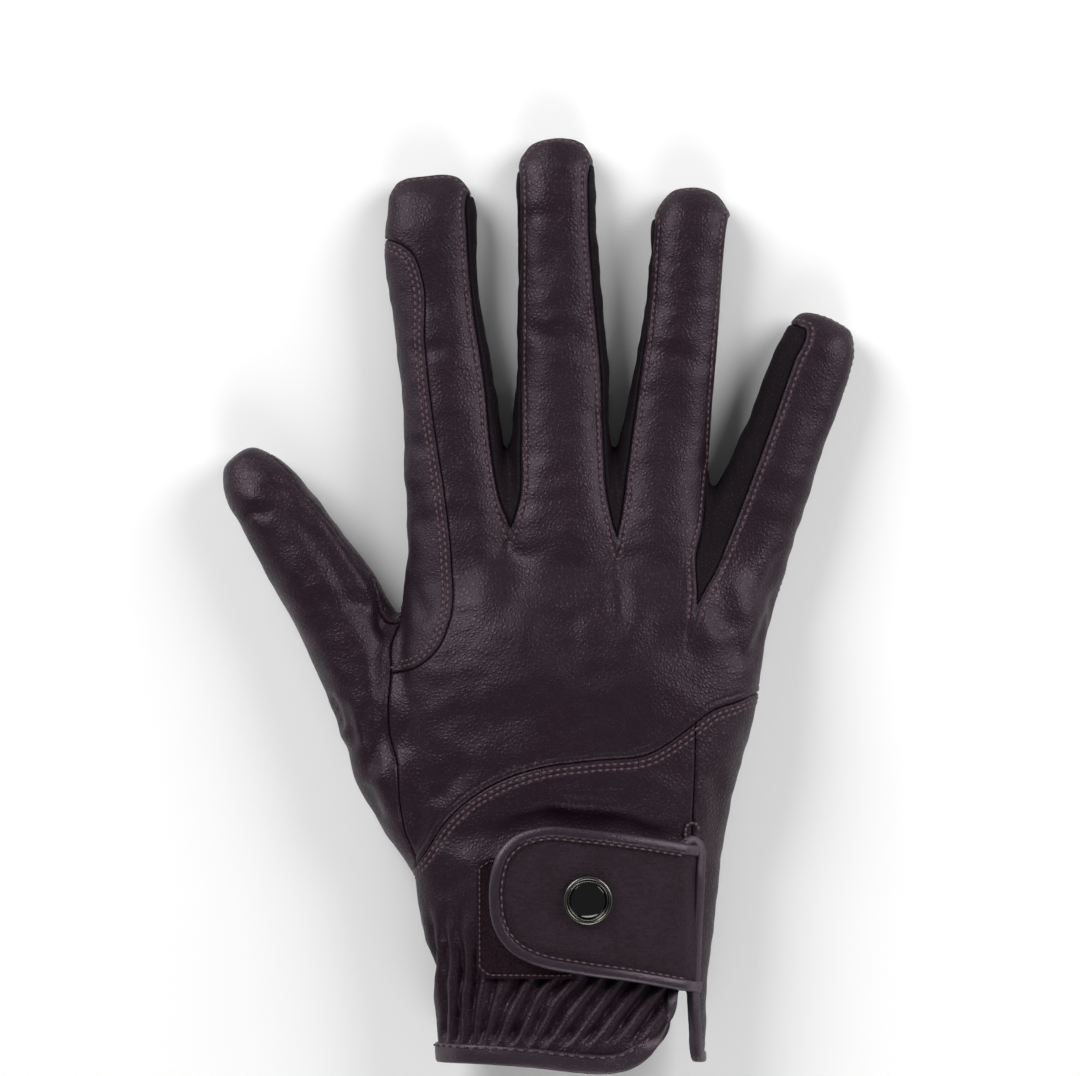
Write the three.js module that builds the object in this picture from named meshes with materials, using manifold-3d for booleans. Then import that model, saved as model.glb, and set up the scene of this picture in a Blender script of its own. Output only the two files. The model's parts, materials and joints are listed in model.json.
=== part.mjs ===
// A leather riding glove for the right hand, lying palm down on a flat surface.
// Millimetres. X runs to the little finger's side, Y to the fingertips, Z up from the surface.
// Every place in a table is a share of the palm's width (x) and the glove's length (y).

import * as THREE from "three";
import { mergeVertices } from "three/addons/utils/BufferGeometryUtils.js";
import Module from "manifold-3d";

const wasm = await Module();
wasm.setup();

// Overall sizes
const PALM_WIDTH = 92;
const GLOVE_LENGTH = 240;
const HAND_HEIGHT = 33;
const FINGER_HEIGHT = 16;
const THUMB_WIDTH = 25;
const THUMB_HEIGHT = 22;

// Leather and clearances
const WALL = 1.4;
const SEAM_GAP = 0.3;
const CLEARANCE = 0.3;

// Gathered cuff, its bound hem and its vent
const PLEAT_DEPTH = 0.9;
const PLEATS_END = 0.35;
const PLEATS_UNDER = -0.5;
const CUFF_SIDE_SEAM = 12;
const BINDING_WIDTH = 5;
const BINDING_THICKNESS = 0.9;
const VENT_WIDTH = 3.2;
const VENT_CORNER = 13;

// Closing strap, its fastening and its badge
const STRAP_LENGTH = 53;
const STRAP_WIDTH = 37;
const STRAP_THICKNESS = 1.6;
const PIPING_WIDTH = 3;
const PIPING_RISE = 0.4;
const LOOP_THICKNESS = 0.8;
const HOOK_THICKNESS = 1.2;
const STRAP_DESCENT = 0.55;
const PATCH_CORNER = 0.06;
const BADGE_DIAMETER = 12.6;
const BADGE_RIM = 1.5;
const BADGE_HEIGHT = 1.9;

// How round the sections are: 2 is an ellipse, more is squarer
const FINGER_POWER = 2.3;
const HAND_POWER = 2.4;
const FINGER_SIDES = 16;
const HAND_SIDES = 48;

// Height of the seams on the fingers' and the thumb's sides
const SIDE_PANEL_MIDDLE = 9;
const ULNAR_SEAM = 5.5;
const THUMB_SEAM = 11;
const FOURCHETTE_STOP = 9;
const FOURCHETTE_REACH = 0.56;

// Share of a finger over which its own crown fades out
const CROWN_END = 0.4;

// Steps along a seam for each of its points
const SEAM_STEPS = 1.1;

const FAR = 400;

// Height of all fingers from root to tip, in shares of a finger's length and FINGER_HEIGHT
const FINGER_ARCH = [
  { along: 0, low: 0.04, high: 1.5 },
  { along: 0.2, low: 0.08, high: 1.28 },
  { along: 0.4, low: 0.13, high: 1.11 },
  { along: 0.6, low: 0.11, high: 1.01 },
  { along: 0.8, low: 0.02, high: 0.92 },
  { along: 0.9, low: -0.03, high: 0.85 },
  { along: 0.95, low: 0.0, high: 0.76 },
  { along: 0.98, low: 0.1, high: 0.62 },
];

// Each finger's outline at the same stations: width and sideways shift in shares of its width.
// Its crown is how much of the common height it has where it leaves the hand.
const FINGERS = {
  index: {
    width: 23.5,
    crown: 0.84,
    root: [-0.288, 0.085],
    tip: [-0.366, 0.454],
    wide: [1.08, 1.07, 1.02, 0.975, 1.0, 0.98, 0.89, 0.74],
    shift: [0.03, 0.02, 0, -0.045, -0.06, -0.03, -0.03, -0.03],
  },
  middle: {
    width: 23.5,
    crown: 1,
    root: [0.003, 0.085],
    tip: [-0.014, 0.492],
    wide: [1.08, 1.07, 1.0, 0.9, 0.865, 0.875, 0.82, 0.65],
    shift: [0, 0, 0.045, 0.005, 0, -0.01, 0, 0],
  },
  ring: {
    width: 22.5,
    crown: 1,
    root: [0.277, 0.058],
    tip: [0.369, 0.439],
    wide: [1.1, 1.08, 1.0, 0.91, 0.85, 0.94, 0.78, 0.57],
    shift: [-0.07, -0.07, -0.04, 0.025, -0.005, 0.035, 0.045, 0.04],
  },
  little: {
    width: 21,
    crown: 0.84,
    root: [0.493, 0.027],
    tip: [0.737, 0.303],
    wide: [1.25, 1.2, 1.06, 0.98, 0.963, 0.91, 0.8, 0.7],
    shift: [-0.1, -0.07, -0.025, 0, 0.03, 0.055, 0.045, 0.04],
  },
};

// The thumb's line from inside the hand to its tip
const THUMB_SPINE = [
  [-0.33, -0.29],
  [-0.455, -0.159],
  [-0.565, -0.048],
  [-0.715, 0.051],
  [-0.826, 0.113],
  [-0.905, 0.155],
];

// Its sections in shares of its length, THUMB_WIDTH and THUMB_HEIGHT
const THUMB_ROWS = [
  { along: 0, wide: 0.55, low: 0.0, high: 0.95 },
  { along: 0.13, wide: 0.86, low: -0.05, high: 1.08 },
  { along: 0.25, wide: 1.0, low: -0.05, high: 1.14 },
  { along: 0.3, wide: 0.96, low: -0.05, high: 1.06 },
  { along: 0.36, wide: 1.02, low: -0.05, high: 1.13 },
  { along: 0.42, wide: 1.02, low: -0.04, high: 1.08 },
  { along: 0.6, wide: 0.96, low: -0.01, high: 0.99 },
  { along: 0.77, wide: 0.87, low: -0.02, high: 0.93 },
  { along: 0.88, wide: 0.77, low: -0.03, high: 0.84 },
  { along: 0.94, wide: 0.66, low: 0.0, high: 0.75 },
  { along: 0.98, wide: 0.46, low: 0.12, high: 0.6 },
];

// The hand and cuff from past the wrist opening to the knuckles. Heights are shares of
// HAND_HEIGHT, and gather is 1 where elastic draws the leather into pleats.
const HAND_ROWS = [
  { along: -0.54, left: -0.333, right: 0.391, low: 0.0, high: 0.96, gather: 0 },
  { along: -0.466, left: -0.346, right: 0.399, low: -0.02, high: 0.98, gather: 0 },
  { along: -0.45, left: -0.35, right: 0.4, low: -0.02, high: 0.99, gather: 1 },
  { along: -0.36, left: -0.378, right: 0.418, low: -0.02, high: 0.96, gather: 1 },
  { along: -0.34, left: -0.388, right: 0.421, low: -0.03, high: 0.96, gather: 0 },
  { along: -0.27, left: -0.416, right: 0.45, low: -0.03, high: 0.98, gather: 0 },
  { along: -0.245, left: -0.422, right: 0.462, low: -0.03, high: 0.945, gather: 0 },
  { along: -0.215, left: -0.432, right: 0.477, low: -0.03, high: 0.985, gather: 0 },
  { along: -0.149, left: -0.449, right: 0.518, low: -0.03, high: 1.0, gather: 0 },
  { along: -0.085, left: -0.455, right: 0.549, low: -0.03, high: 0.99, gather: 0 },
  { along: -0.021, left: -0.443, right: 0.582, low: -0.03, high: 0.93, gather: 0 },
  { along: 0.05, left: -0.424, right: 0.622, low: -0.02, high: 0.81, gather: 0 },
  { along: 0.117, left: -0.39, right: 0.615, low: 0.05, high: 0.62, gather: 0 },
];

// Upper and lower seam of the strips between the fingers, in shares of FINGER_HEIGHT
const FOURCHETTE_ROWS = [
  { along: 0.03, low: 0.38, high: 1.12 },
  { along: 0.25, low: 0.32, high: 0.8 },
  { along: 0.48, low: 0.26, high: 0.55 },
];

// Seams seen from above, on the back and on the palm
const THUMB_BACK_SEAM = [
  [-0.495, 0.3], [-0.5, 0.1], [-0.475, 0.02], [-0.446, -0.02], [-0.466, -0.042],
  [-0.472, -0.079], [-0.48, -0.116], [-0.476, -0.143], [-0.455, -0.17], [-0.449, -0.207],
  [-0.435, -0.243], [-0.405, -0.281], [-0.43, -0.3],
];
const THUMB_PALM_SEAM = [
  [-0.495, 0.3], [-0.5, 0.1], [-0.475, 0.01], [-0.43, -0.03], [-0.33, -0.01],
  [-0.213, 0.007], [-0.169, -0.012], [-0.105, -0.034], [-0.05, -0.064], [0.006, -0.103],
  [0.028, -0.157], [0.014, -0.217], [-0.019, -0.252], [-0.103, -0.296], [-0.191, -0.32],
  [-0.285, -0.322], [-0.388, -0.311], [-0.46, -0.3],
];
const SIDE_BACK_SEAM = [
  [-0.56, 0.385], [-0.488, 0.384], [-0.421, 0.372], [-0.385, 0.34], [-0.38, 0.276],
  [-0.36, 0.202], [-0.322, 0.106], [-0.305, 0.042], [-0.308, -0.019], [-0.346, -0.053],
  [-0.416, -0.073], [-0.471, -0.077], [-0.56, -0.08],
];
const SIDE_PALM_SEAM = [
  [-0.56, 0.385], [-0.488, 0.384], [-0.396, 0.375], [-0.352, 0.355], [-0.31, 0.299],
  [-0.297, 0.224], [-0.28, 0.122], [-0.266, 0.051], [-0.213, 0.007], [-0.19, -0.03],
];
const YOKE_SEAM = [
  [-0.56, -0.33], [-0.443, -0.3], [-0.38, -0.268], [-0.322, -0.235], [-0.241, -0.207],
  [-0.144, -0.187], [-0.05, -0.176], [0.094, -0.169], [0.244, -0.162], [0.327, -0.143],
  [0.371, -0.13],
];
const YOKE_SEAM_PIECES = 12;
const YOKE_VENT_SIDE = [[0.37, -0.18], [0.36, -0.262]];
const ULNAR_SEAM_END = [[0.421, -0.116], [0.485, -0.108], [0.6, -0.09]];

// The back's hem from the thumb's side to the vent, the vent's line and the palm's hem
const BACK_HEM = [
  [-0.6, -0.489], [-0.388, -0.489], [-0.233, -0.49], [-0.089, -0.495], [0.058, -0.503],
  [0.13, -0.504],
];
const VENT_TOP = [0.36, -0.262];
const VENT_FOOT = [0.34, -0.42];
const TAIL_HEM = [[0.374, -0.489], [0.6, -0.489]];
const PALM_HEM = [[-0.6, -0.489], [0.6, -0.489]];

// Outline of the strap from its sewn end round its free end, in shares of STRAP_LENGTH and
// STRAP_WIDTH, and where its middle is sewn in
const STRAP_OUTLINE = [
  [0, 0.441], [0.216, 0.497], [0.553, 0.559], [0.74, 0.575], [0.889, 0.503], [0.957, 0.4],
  [0.989, 0.269], [1, 0.062], [0.986, -0.083], [0.942, -0.214], [0.875, -0.31],
  [0.808, -0.359], [0.553, -0.441], [0.317, -0.49], [0, -0.579],
];
const STRAP_SEWN_AT = [0.377, -0.327];
const BADGE_AT = [0.528, 0.075];
const LOOP_AREA = { from: [0.55, -0.47], to: [1.05, 0.36] };
const HOOK_AREA = { from: [0.62, -0.26], to: [0.93, 0.36] };

function place([x, y]) {
  return new THREE.Vector2(x * PALM_WIDTH, y * GLOVE_LENGTH);
}

function smooth(points, pieces) {
  return new THREE.SplineCurve(points).getPoints(pieces);
}

// Moves an open line sideways, to its left for a positive distance
function shifted(points, distance) {
  return points.map((point, i) => {
    const before = points[Math.max(i - 1, 0)];
    const after = points[Math.min(i + 1, points.length - 1)];
    const way = after.clone().sub(before).normalize();
    return new THREE.Vector2(point.x - way.y * distance, point.y + way.x * distance);
  });
}

function solidOf(positions, triangles) {
  const mesh = new wasm.Mesh({
    numProp: 3,
    vertProperties: new Float32Array(positions),
    triVerts: new Uint32Array(triangles),
  });
  return new wasm.Manifold(mesh);
}

function solidFromGeometry(geometry) {
  const bare = geometry.clone();
  bare.deleteAttribute("normal");
  bare.deleteAttribute("uv");
  const merged = mergeVertices(bare, 1e-4);
  return solidOf(merged.attributes.position.array, merged.index.array);
}

// An upright prism over an outline seen from above
function planPrism(outline, low = -FAR, high = FAR) {
  const shape = new THREE.Shape(outline);
  const geometry = new THREE.ExtrudeGeometry(shape, { depth: high - low, bevelEnabled: false });
  geometry.translate(0, 0, low);
  return solidFromGeometry(geometry);
}

// A prism across the whole glove over an outline of y and z
function sidePrism(outline) {
  const shape = new THREE.Shape(outline);
  const geometry = new THREE.ExtrudeGeometry(shape, { depth: 2 * FAR, bevelEnabled: false });
  const toY = new THREE.Vector3(0, 1, 0);
  const toZ = new THREE.Vector3(0, 0, 1);
  const toX = new THREE.Vector3(1, 0, 0);
  geometry.applyMatrix4(new THREE.Matrix4().makeBasis(toY, toZ, toX));
  geometry.translate(-FAR, 0, 0);
  return solidFromGeometry(geometry);
}

// One closed section in the upright plane across a line
function sectionRing({ centre, across, half, low, high, power, sides, gather = 0 }) {
  const middle = (low + high) / 2;
  const rise = (high - low) / 2;
  const points = [];
  for (let i = 0; i < sides; i++) {
    const angle = (2 * Math.PI * i) / sides;
    const cos = Math.cos(angle);
    const sin = Math.sin(angle);
    const besideVent = sin > PLEATS_UNDER && cos > PLEATS_END;
    const pull = besideVent ? 0 : gather * (i % 2);
    const u = Math.sign(cos) * Math.abs(cos) ** (2 / power) * (half - pull);
    const v = Math.sign(sin) * Math.abs(sin) ** (2 / power) * (rise - pull);
    points.push(new THREE.Vector3(centre.x + across.x * u, centre.y + across.y * u, middle + v));
  }
  return points;
}

// Skins a row of sections and closes both ends round the points start and end
function loft(rings, start, end) {
  const sides = rings[0].length;
  const points = [...rings.flat(), start, end];
  const first = points.length - 2;
  const last = points.length - 1;
  const triangles = [];
  for (let k = 0; k + 1 < rings.length; k++) {
    for (let i = 0; i < sides; i++) {
      const j = (i + 1) % sides;
      const a = k * sides + i;
      const b = k * sides + j;
      triangles.push(a, a + sides, b, b, a + sides, b + sides);
    }
  }
  const lastRing = (rings.length - 1) * sides;
  for (let i = 0; i < sides; i++) {
    const j = (i + 1) % sides;
    triangles.push(first, i, j, last, lastRing + j, lastRing + i);
  }
  return solidOf(points.flatMap((point) => point.toArray()), triangles);
}

function middleOf(ring) {
  const sum = new THREE.Vector3();
  ring.forEach((point) => sum.add(point));
  return sum.divideScalar(ring.length);
}

// A finger or thumb along a line, made smaller all round by inset
function digit(spine, rows, width, height, inset) {
  const length = spine.getLength();
  const reach = 1 - inset / length;
  const rings = rows.map((row) => {
    const t = row.along * reach;
    const way = spine.getTangentAt(t);
    const across = new THREE.Vector2(way.y, -way.x).normalize();
    const point = spine.getPointAt(t);
    const centre = new THREE.Vector2(point.x, point.y).addScaledVector(across, (row.shift ?? 0) * width);
    const half = (row.wide * width) / 2 - inset;
    const low = row.low * height + inset;
    const high = row.high * height - inset;
    return sectionRing({ centre, across, half, low, high, power: FINGER_POWER, sides: FINGER_SIDES });
  });
  const lastRow = rows[rows.length - 1];
  const tip = spine.getPointAt(reach);
  const lastMiddle = middleOf(rings[rings.length - 1]);
  const end = new THREE.Vector3(tip.x, tip.y, ((lastRow.low + lastRow.high) / 2) * height);
  end.lerp(new THREE.Vector3(lastMiddle.x, lastMiddle.y, end.z), 0.3);
  return loft(rings, middleOf(rings[0]), end);
}

function fingerSpine(finger) {
  const root = place(finger.root);
  const tip = place(finger.tip);
  return new THREE.LineCurve3(new THREE.Vector3(root.x, root.y, 0), new THREE.Vector3(tip.x, tip.y, 0));
}

function fingerSolid(finger, inset) {
  const rows = FINGER_ARCH.map((row, i) => {
    const crown = THREE.MathUtils.lerp(finger.crown, 1, Math.min(row.along / CROWN_END, 1));
    return { ...row, high: row.high * crown, wide: finger.wide[i], shift: finger.shift[i] };
  });
  return digit(fingerSpine(finger), rows, finger.width, FINGER_HEIGHT, inset);
}

function thumbSolid(inset) {
  const points = THUMB_SPINE.map((share) => {
    const point = place(share);
    return new THREE.Vector3(point.x, point.y, 0);
  });
  return digit(new THREE.CatmullRomCurve3(points), THUMB_ROWS, THUMB_WIDTH, THUMB_HEIGHT, inset);
}

// The hand and cuff, standing off the leather's outer face by lift, which may change along x
function handSolid(lift, gathered = false) {
  const rings = HAND_ROWS.map((row) => {
    const left = row.left * PALM_WIDTH;
    const right = row.right * PALM_WIDTH;
    const plain = sectionRing({
      centre: new THREE.Vector2((left + right) / 2, row.along * GLOVE_LENGTH),
      across: new THREE.Vector2(1, 0),
      half: (right - left) / 2,
      low: row.low * HAND_HEIGHT,
      high: row.high * HAND_HEIGHT,
      power: HAND_POWER,
      sides: HAND_SIDES,
      gather: gathered ? row.gather * PLEAT_DEPTH : 0,
    });
    return liftedRing(plain, lift);
  });
  const knuckles = rings[rings.length - 1];
  knuckles.forEach((point) => {
    point.y += typeof lift === "function" ? 0 : lift;
  });
  return loft(rings, middleOf(rings[0]), middleOf(knuckles));
}

// Moves each point of a section along the section's own outward direction
function liftedRing(ring, lift) {
  const middle = middleOf(ring);
  const half = Math.max(...ring.map((point) => Math.abs(point.x - middle.x)));
  const rise = Math.max(...ring.map((point) => Math.abs(point.z - middle.z)));
  return ring.map((point) => {
    const out = new THREE.Vector3((point.x - middle.x) / half ** 2, 0, (point.z - middle.z) / rise ** 2);
    const distance = typeof lift === "function" ? lift(point.x) : lift;
    return point.clone().addScaledVector(out.normalize(), distance);
  });
}

function skin(from, to) {
  return handSolid(to).subtract(handSolid(from));
}

function aboveHeight(height) {
  const geometry = new THREE.BoxGeometry(2 * FAR, 2 * FAR, FAR);
  geometry.translate(0, 0, height + FAR / 2);
  return solidFromGeometry(geometry);
}

// The region on the hand's side of the bound edge: the back's hem, the vent and the palm's hem.
// A positive margin reaches past the edge.
function insideHem(margin) {
  const top = place(VENT_TOP);
  const foot = place(VENT_FOOT);
  const up = top.clone().sub(foot).normalize();
  const side = new THREE.Vector2(up.y, -up.x);
  const slotEdge = (at, way) => at.clone().addScaledVector(side, (way * VENT_WIDTH) / 2);
  const hemEnd = place(BACK_HEM[BACK_HEM.length - 1]);
  const footLeft = slotEdge(foot, -1);
  const corner = new THREE.CubicBezierCurve(
    hemEnd,
    new THREE.Vector2(hemEnd.x + VENT_CORNER * 0.7, hemEnd.y),
    footLeft.clone().addScaledVector(up, -VENT_CORNER),
    footLeft,
  );
  const round = [];
  for (let i = 1; i < 6; i++) {
    const angle = Math.PI - (Math.PI * i) / 6;
    const radius = VENT_WIDTH / 2;
    const point = top.clone().addScaledVector(side, radius * Math.cos(angle));
    round.push(point.addScaledVector(up, radius * Math.sin(angle)));
  }
  const line = [
    ...BACK_HEM.map(place),
    ...corner.getPoints(8).slice(1),
    slotEdge(top, -1),
    ...round,
    slotEdge(top, 1),
    slotEdge(foot, 1),
    ...TAIL_HEM.map(place),
  ];
  const above = (edge) => {
    const moved = shifted(edge, -margin);
    const first = moved[0];
    const last = moved[moved.length - 1];
    const corners = [[FAR, last.y], [FAR, FAR], [-FAR, FAR], [-FAR, first.y]];
    return [...moved, ...corners.map(([x, y]) => new THREE.Vector2(x, y))];
  };
  const split = CUFF_SIDE_SEAM;
  return planPrism(above(line), split).add(planPrism(above(PALM_HEM.map(place)), -FAR, split));
}

// All the leather of the glove as one wall, open at the wrist
function wholeWall() {
  const fingers = (depth) => Object.values(FINGERS).map((finger) => fingerSolid(finger, depth));
  const outer = [handSolid(0, true), thumbSolid(0), ...fingers(0)];
  const inner = [handSolid(-WALL, true), thumbSolid(WALL), ...fingers(WALL)];
  const join = (solids) => solids.reduce((all, next) => all.add(next));
  const body = join(outer).intersect(aboveHeight(0));
  const hollow = join(inner).intersect(aboveHeight(WALL));
  return body.subtract(hollow).intersect(insideHem(0));
}

// The outline to the left of a seam line that runs from the fingertips towards the wrist
function leftOf(seam, grow) {
  const line = shifted(smooth(seam.map(place), Math.round(seam.length * SEAM_STEPS)), grow);
  const last = line[line.length - 1];
  return [...line, new THREE.Vector2(-FAR, last.y), new THREE.Vector2(-FAR, line[0].y)];
}

function thumbRegion(grow) {
  const back = planPrism(leftOf(THUMB_BACK_SEAM, grow).reverse(), THUMB_SEAM);
  const palm = planPrism(leftOf(THUMB_PALM_SEAM, grow).reverse(), -FAR, THUMB_SEAM);
  return back.add(palm);
}

function sidePanelRegion(grow) {
  const back = planPrism(leftOf(SIDE_BACK_SEAM, grow).reverse(), SIDE_PANEL_MIDDLE);
  const palm = planPrism(leftOf(SIDE_PALM_SEAM, grow).reverse(), -FAR, SIDE_PANEL_MIDDLE);
  return back.add(palm);
}

function yokeRegion(grow) {
  const seam = [...smooth(YOKE_SEAM.map(place), YOKE_SEAM_PIECES), ...YOKE_VENT_SIDE.map(place)];
  const line = shifted(seam, grow);
  const outline = [
    ...line,
    new THREE.Vector2(place(VENT_FOOT).x, -FAR),
    new THREE.Vector2(-FAR, -FAR),
    new THREE.Vector2(-FAR, line[0].y),
  ];
  return planPrism(outline.reverse(), CUFF_SIDE_SEAM - grow);
}

function seamHeights(key, grow) {
  return FOURCHETTE_ROWS.map((row) => {
    return new THREE.Vector2(row.along * GLOVE_LENGTH, row[key] * FINGER_HEIGHT + grow);
  });
}

// The sides of two neighbouring fingers that face each other, with the crotch between them
function fourchetteRegion(left, right, grow) {
  const lower = seamHeights("low", -grow);
  const upper = seamHeights("high", grow);
  const band = sidePrism([...lower, ...upper.reverse()]);
  const finger = (which, way) => {
    const root = place(which.root);
    const tip = place(which.tip);
    const along = tip.clone().sub(root).normalize();
    const across = new THREE.Vector2(along.y, -along.x);
    const end = tip.clone().addScaledVector(along, grow - FOURCHETTE_STOP);
    const beside = end.clone().addScaledVector(across, way * which.width * FOURCHETTE_REACH);
    const start = root.clone().addScaledVector(along, -FOURCHETTE_STOP);
    start.addScaledVector(across, -way * grow);
    end.addScaledVector(across, -way * grow);
    return { start, end, beside };
  };
  const a = finger(left, 1);
  const b = finger(right, -1);
  return band.intersect(planPrism([b.start, b.end, b.beside, a.beside, a.end, a.start]));
}

// The back of the hand and fingers, down to the side seam on the little finger's side
function backRegion(grow) {
  const wrist = -FAR;
  const upper = seamHeights("high", -grow);
  const first = upper[0];
  const last = upper[upper.length - 1];
  const over = sidePrism([
    new THREE.Vector2(wrist, first.y), ...upper, new THREE.Vector2(FAR, last.y),
    new THREE.Vector2(FAR, FAR), new THREE.Vector2(wrist, FAR),
  ]);
  const root = place(FINGERS.little.root);
  const tip = place(FINGERS.little.tip);
  const along = tip.clone().sub(root).normalize();
  const across = new THREE.Vector2(along.y, -along.x);
  const start = root.clone().addScaledVector(across, -grow);
  const end = tip.clone().addScaledVector(along, grow - FOURCHETTE_STOP).addScaledVector(across, -grow);
  const ulnar = planPrism([
    new THREE.Vector2(0, -FAR), new THREE.Vector2(FAR, -FAR),
    end.clone().addScaledVector(across, FAR), end, start, new THREE.Vector2(0, start.y),
  ], ULNAR_SEAM - grow);
  const seam = [...smooth(YOKE_SEAM.map(place), YOKE_SEAM_PIECES), ...ULNAR_SEAM_END.map(place)];
  const line = shifted(seam, -grow);
  const aboveWrist = planPrism([
    ...line, new THREE.Vector2(FAR, line[line.length - 1].y),
    new THREE.Vector2(FAR, FAR), new THREE.Vector2(-FAR, FAR), new THREE.Vector2(-FAR, line[0].y),
  ]);
  return over.add(ulnar).intersect(aboveWrist);
}

// Splits a wall at its seams: takes the piece inside a region and leaves the rest
function cutAtSeam(wall, region) {
  const piece = wall.intersect(region(-SEAM_GAP / 2));
  const rest = wall.subtract(region(SEAM_GAP / 2));
  return [piece, rest];
}

// Height above the hand's leather where each layer of the fastening lies
const UNDER_HOOK = CLEARANCE + LOOP_THICKNESS + CLEARANCE;
const UNDER_STRAP = UNDER_HOOK + HOOK_THICKNESS + CLEARANCE;
const UNDER_SEWN_END = CLEARANCE + BINDING_THICKNESS + CLEARANCE;

// The strap comes down from its fastening to the leather where it is sewn in
function strapLift(x) {
  const sewn = STRAP_SEWN_AT[0] * PALM_WIDTH;
  const share = THREE.MathUtils.clamp((sewn - x) / (STRAP_LENGTH * STRAP_DESCENT), 0, 1);
  return THREE.MathUtils.lerp(UNDER_SEWN_END, UNDER_STRAP, THREE.MathUtils.smoothstep(share, 0, 1));
}

function strapPoint([along, across]) {
  const sewn = place(STRAP_SEWN_AT);
  return new THREE.Vector2(sewn.x - along * STRAP_LENGTH, sewn.y + across * STRAP_WIDTH);
}

function strapOutline() {
  return smooth(STRAP_OUTLINE.map(strapPoint), 28);
}

function layerOver(outline, from, to) {
  return skin(from, to).intersect(planPrism(outline, HAND_HEIGHT / 2));
}

function strapSolids() {
  const outer = strapOutline();
  const inner = shifted(outer, PIPING_WIDTH + SEAM_GAP);
  const rimInner = shifted(outer, PIPING_WIDTH);
  const top = (x) => strapLift(x) + STRAP_THICKNESS;
  const sewn = strapPoint([0, 0]).x;
  const openEnd = (line) => {
    const ends = [line[line.length - 1], line[0]];
    return [...line, ...ends.map((point) => new THREE.Vector2(sewn + 1, point.y))];
  };
  const body = layerOver(inner.slice().reverse(), strapLift, top);
  const piped = layerOver(outer.slice().reverse(), strapLift, (x) => top(x) + PIPING_RISE);
  const piping = piped.subtract(planPrism(openEnd(rimInner).reverse()));
  return { body, piping };
}

function patch(area, from, to) {
  const [x0, y0] = area.from;
  const [x1, y1] = area.to;
  const cut = PATCH_CORNER;
  const corners = [
    [x0, y0 + cut], [x0 + cut, y0], [x1 - cut, y0], [x1, y0 + cut],
    [x1, y1 - cut], [x1 - cut, y1], [x0 + cut, y1], [x0, y1 - cut],
  ];
  return layerOver(corners.map(strapPoint).reverse(), from, to);
}

function bindingSolid() {
  const faceOut = CLEARANCE + BINDING_THICKNESS;
  const hollow = (depth) => handSolid(-WALL - depth).intersect(aboveHeight(WALL + depth));
  const channel = handSolid(faceOut)
    .subtract(hollow(faceOut))
    .intersect(insideHem(faceOut))
    .subtract(insideHem(-BINDING_WIDTH));
  const leather = handSolid(CLEARANCE).subtract(hollow(CLEARANCE)).intersect(insideHem(CLEARANCE));
  return channel.subtract(leather).intersect(aboveHeight(0));
}

// Height of the smooth cuff at a place, for what sits on it
function handHeight(x, y) {
  const share = y / GLOVE_LENGTH;
  const next = HAND_ROWS.findIndex((row) => row.along > share);
  const a = HAND_ROWS[next - 1];
  const b = HAND_ROWS[next];
  const t = (share - a.along) / (b.along - a.along);
  const value = (key) => THREE.MathUtils.lerp(a[key], b[key], t);
  const left = value("left") * PALM_WIDTH;
  const right = value("right") * PALM_WIDTH;
  const u = Math.abs((x - (left + right) / 2) / ((right - left) / 2));
  const rise = ((value("high") - value("low")) / 2) * HAND_HEIGHT;
  const middle = ((value("high") + value("low")) / 2) * HAND_HEIGHT;
  return middle + rise * (1 - u ** HAND_POWER) ** (1 / HAND_POWER);
}

function turned(profile) {
  return new THREE.LatheGeometry(profile.map(([r, z]) => new THREE.Vector2(r, z)), 24).rotateX(Math.PI / 2);
}

function badgeRing() {
  const outer = BADGE_DIAMETER / 2;
  const inner = outer - BADGE_RIM;
  const bevel = 0.4;
  return turned([
    [inner, 0], [outer, 0], [outer, BADGE_HEIGHT - bevel], [outer - bevel, BADGE_HEIGHT],
    [inner + bevel, BADGE_HEIGHT], [inner, BADGE_HEIGHT - bevel], [inner, 0],
  ]);
}

function badgeDome() {
  const radius = BADGE_DIAMETER / 2 - BADGE_RIM - CLEARANCE;
  const side = BADGE_HEIGHT * 0.5;
  const rise = BADGE_HEIGHT * 0.6;
  const profile = [[0, 0], [radius, 0], [radius, side]];
  for (let i = 1; i <= 5; i++) {
    const angle = (Math.PI / 2) * (i / 5);
    profile.push([i === 5 ? 0 : radius * Math.cos(angle), side + rise * Math.sin(angle)]);
  }
  return turned(profile);
}

// Keeps the largest connected body of a cut solid, without the slivers at seam ends
function largestBody(solid) {
  const mesh = solid.getMesh();
  const root = Array.from({ length: mesh.vertProperties.length / 3 }, (_, i) => i);
  const find = (i) => {
    while (root[i] !== i) {
      root[i] = root[root[i]];
      i = root[i];
    }
    return i;
  };
  for (let t = 0; t < mesh.triVerts.length; t += 3) {
    const a = find(mesh.triVerts[t]);
    root[find(mesh.triVerts[t + 1])] = a;
    root[find(mesh.triVerts[t + 2])] = a;
  }
  const groups = new Map();
  for (let t = 0; t < mesh.triVerts.length; t += 3) {
    const key = find(mesh.triVerts[t]);
    if (!groups.has(key)) groups.set(key, []);
    groups.get(key).push(mesh.triVerts[t], mesh.triVerts[t + 1], mesh.triVerts[t + 2]);
  }
  const triangles = [...groups.values()].reduce((most, next) => (next.length > most.length ? next : most));
  const geometry = new THREE.BufferGeometry();
  geometry.setAttribute("position", new THREE.BufferAttribute(mesh.vertProperties, 3));
  geometry.setIndex(triangles);
  return geometry.toNonIndexed();
}

const glove = new THREE.Group();

function addPiece(name, shape, { color, roughness, metalness = 0 }) {
  const geometry = shape.isBufferGeometry ? shape : largestBody(shape);
  geometry.computeVertexNormals();
  const material = new THREE.MeshStandardMaterial({ color, roughness, metalness });
  const mesh = new THREE.Mesh(geometry, material);
  mesh.name = name;
  glove.add(mesh);
  return mesh;
}

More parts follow.
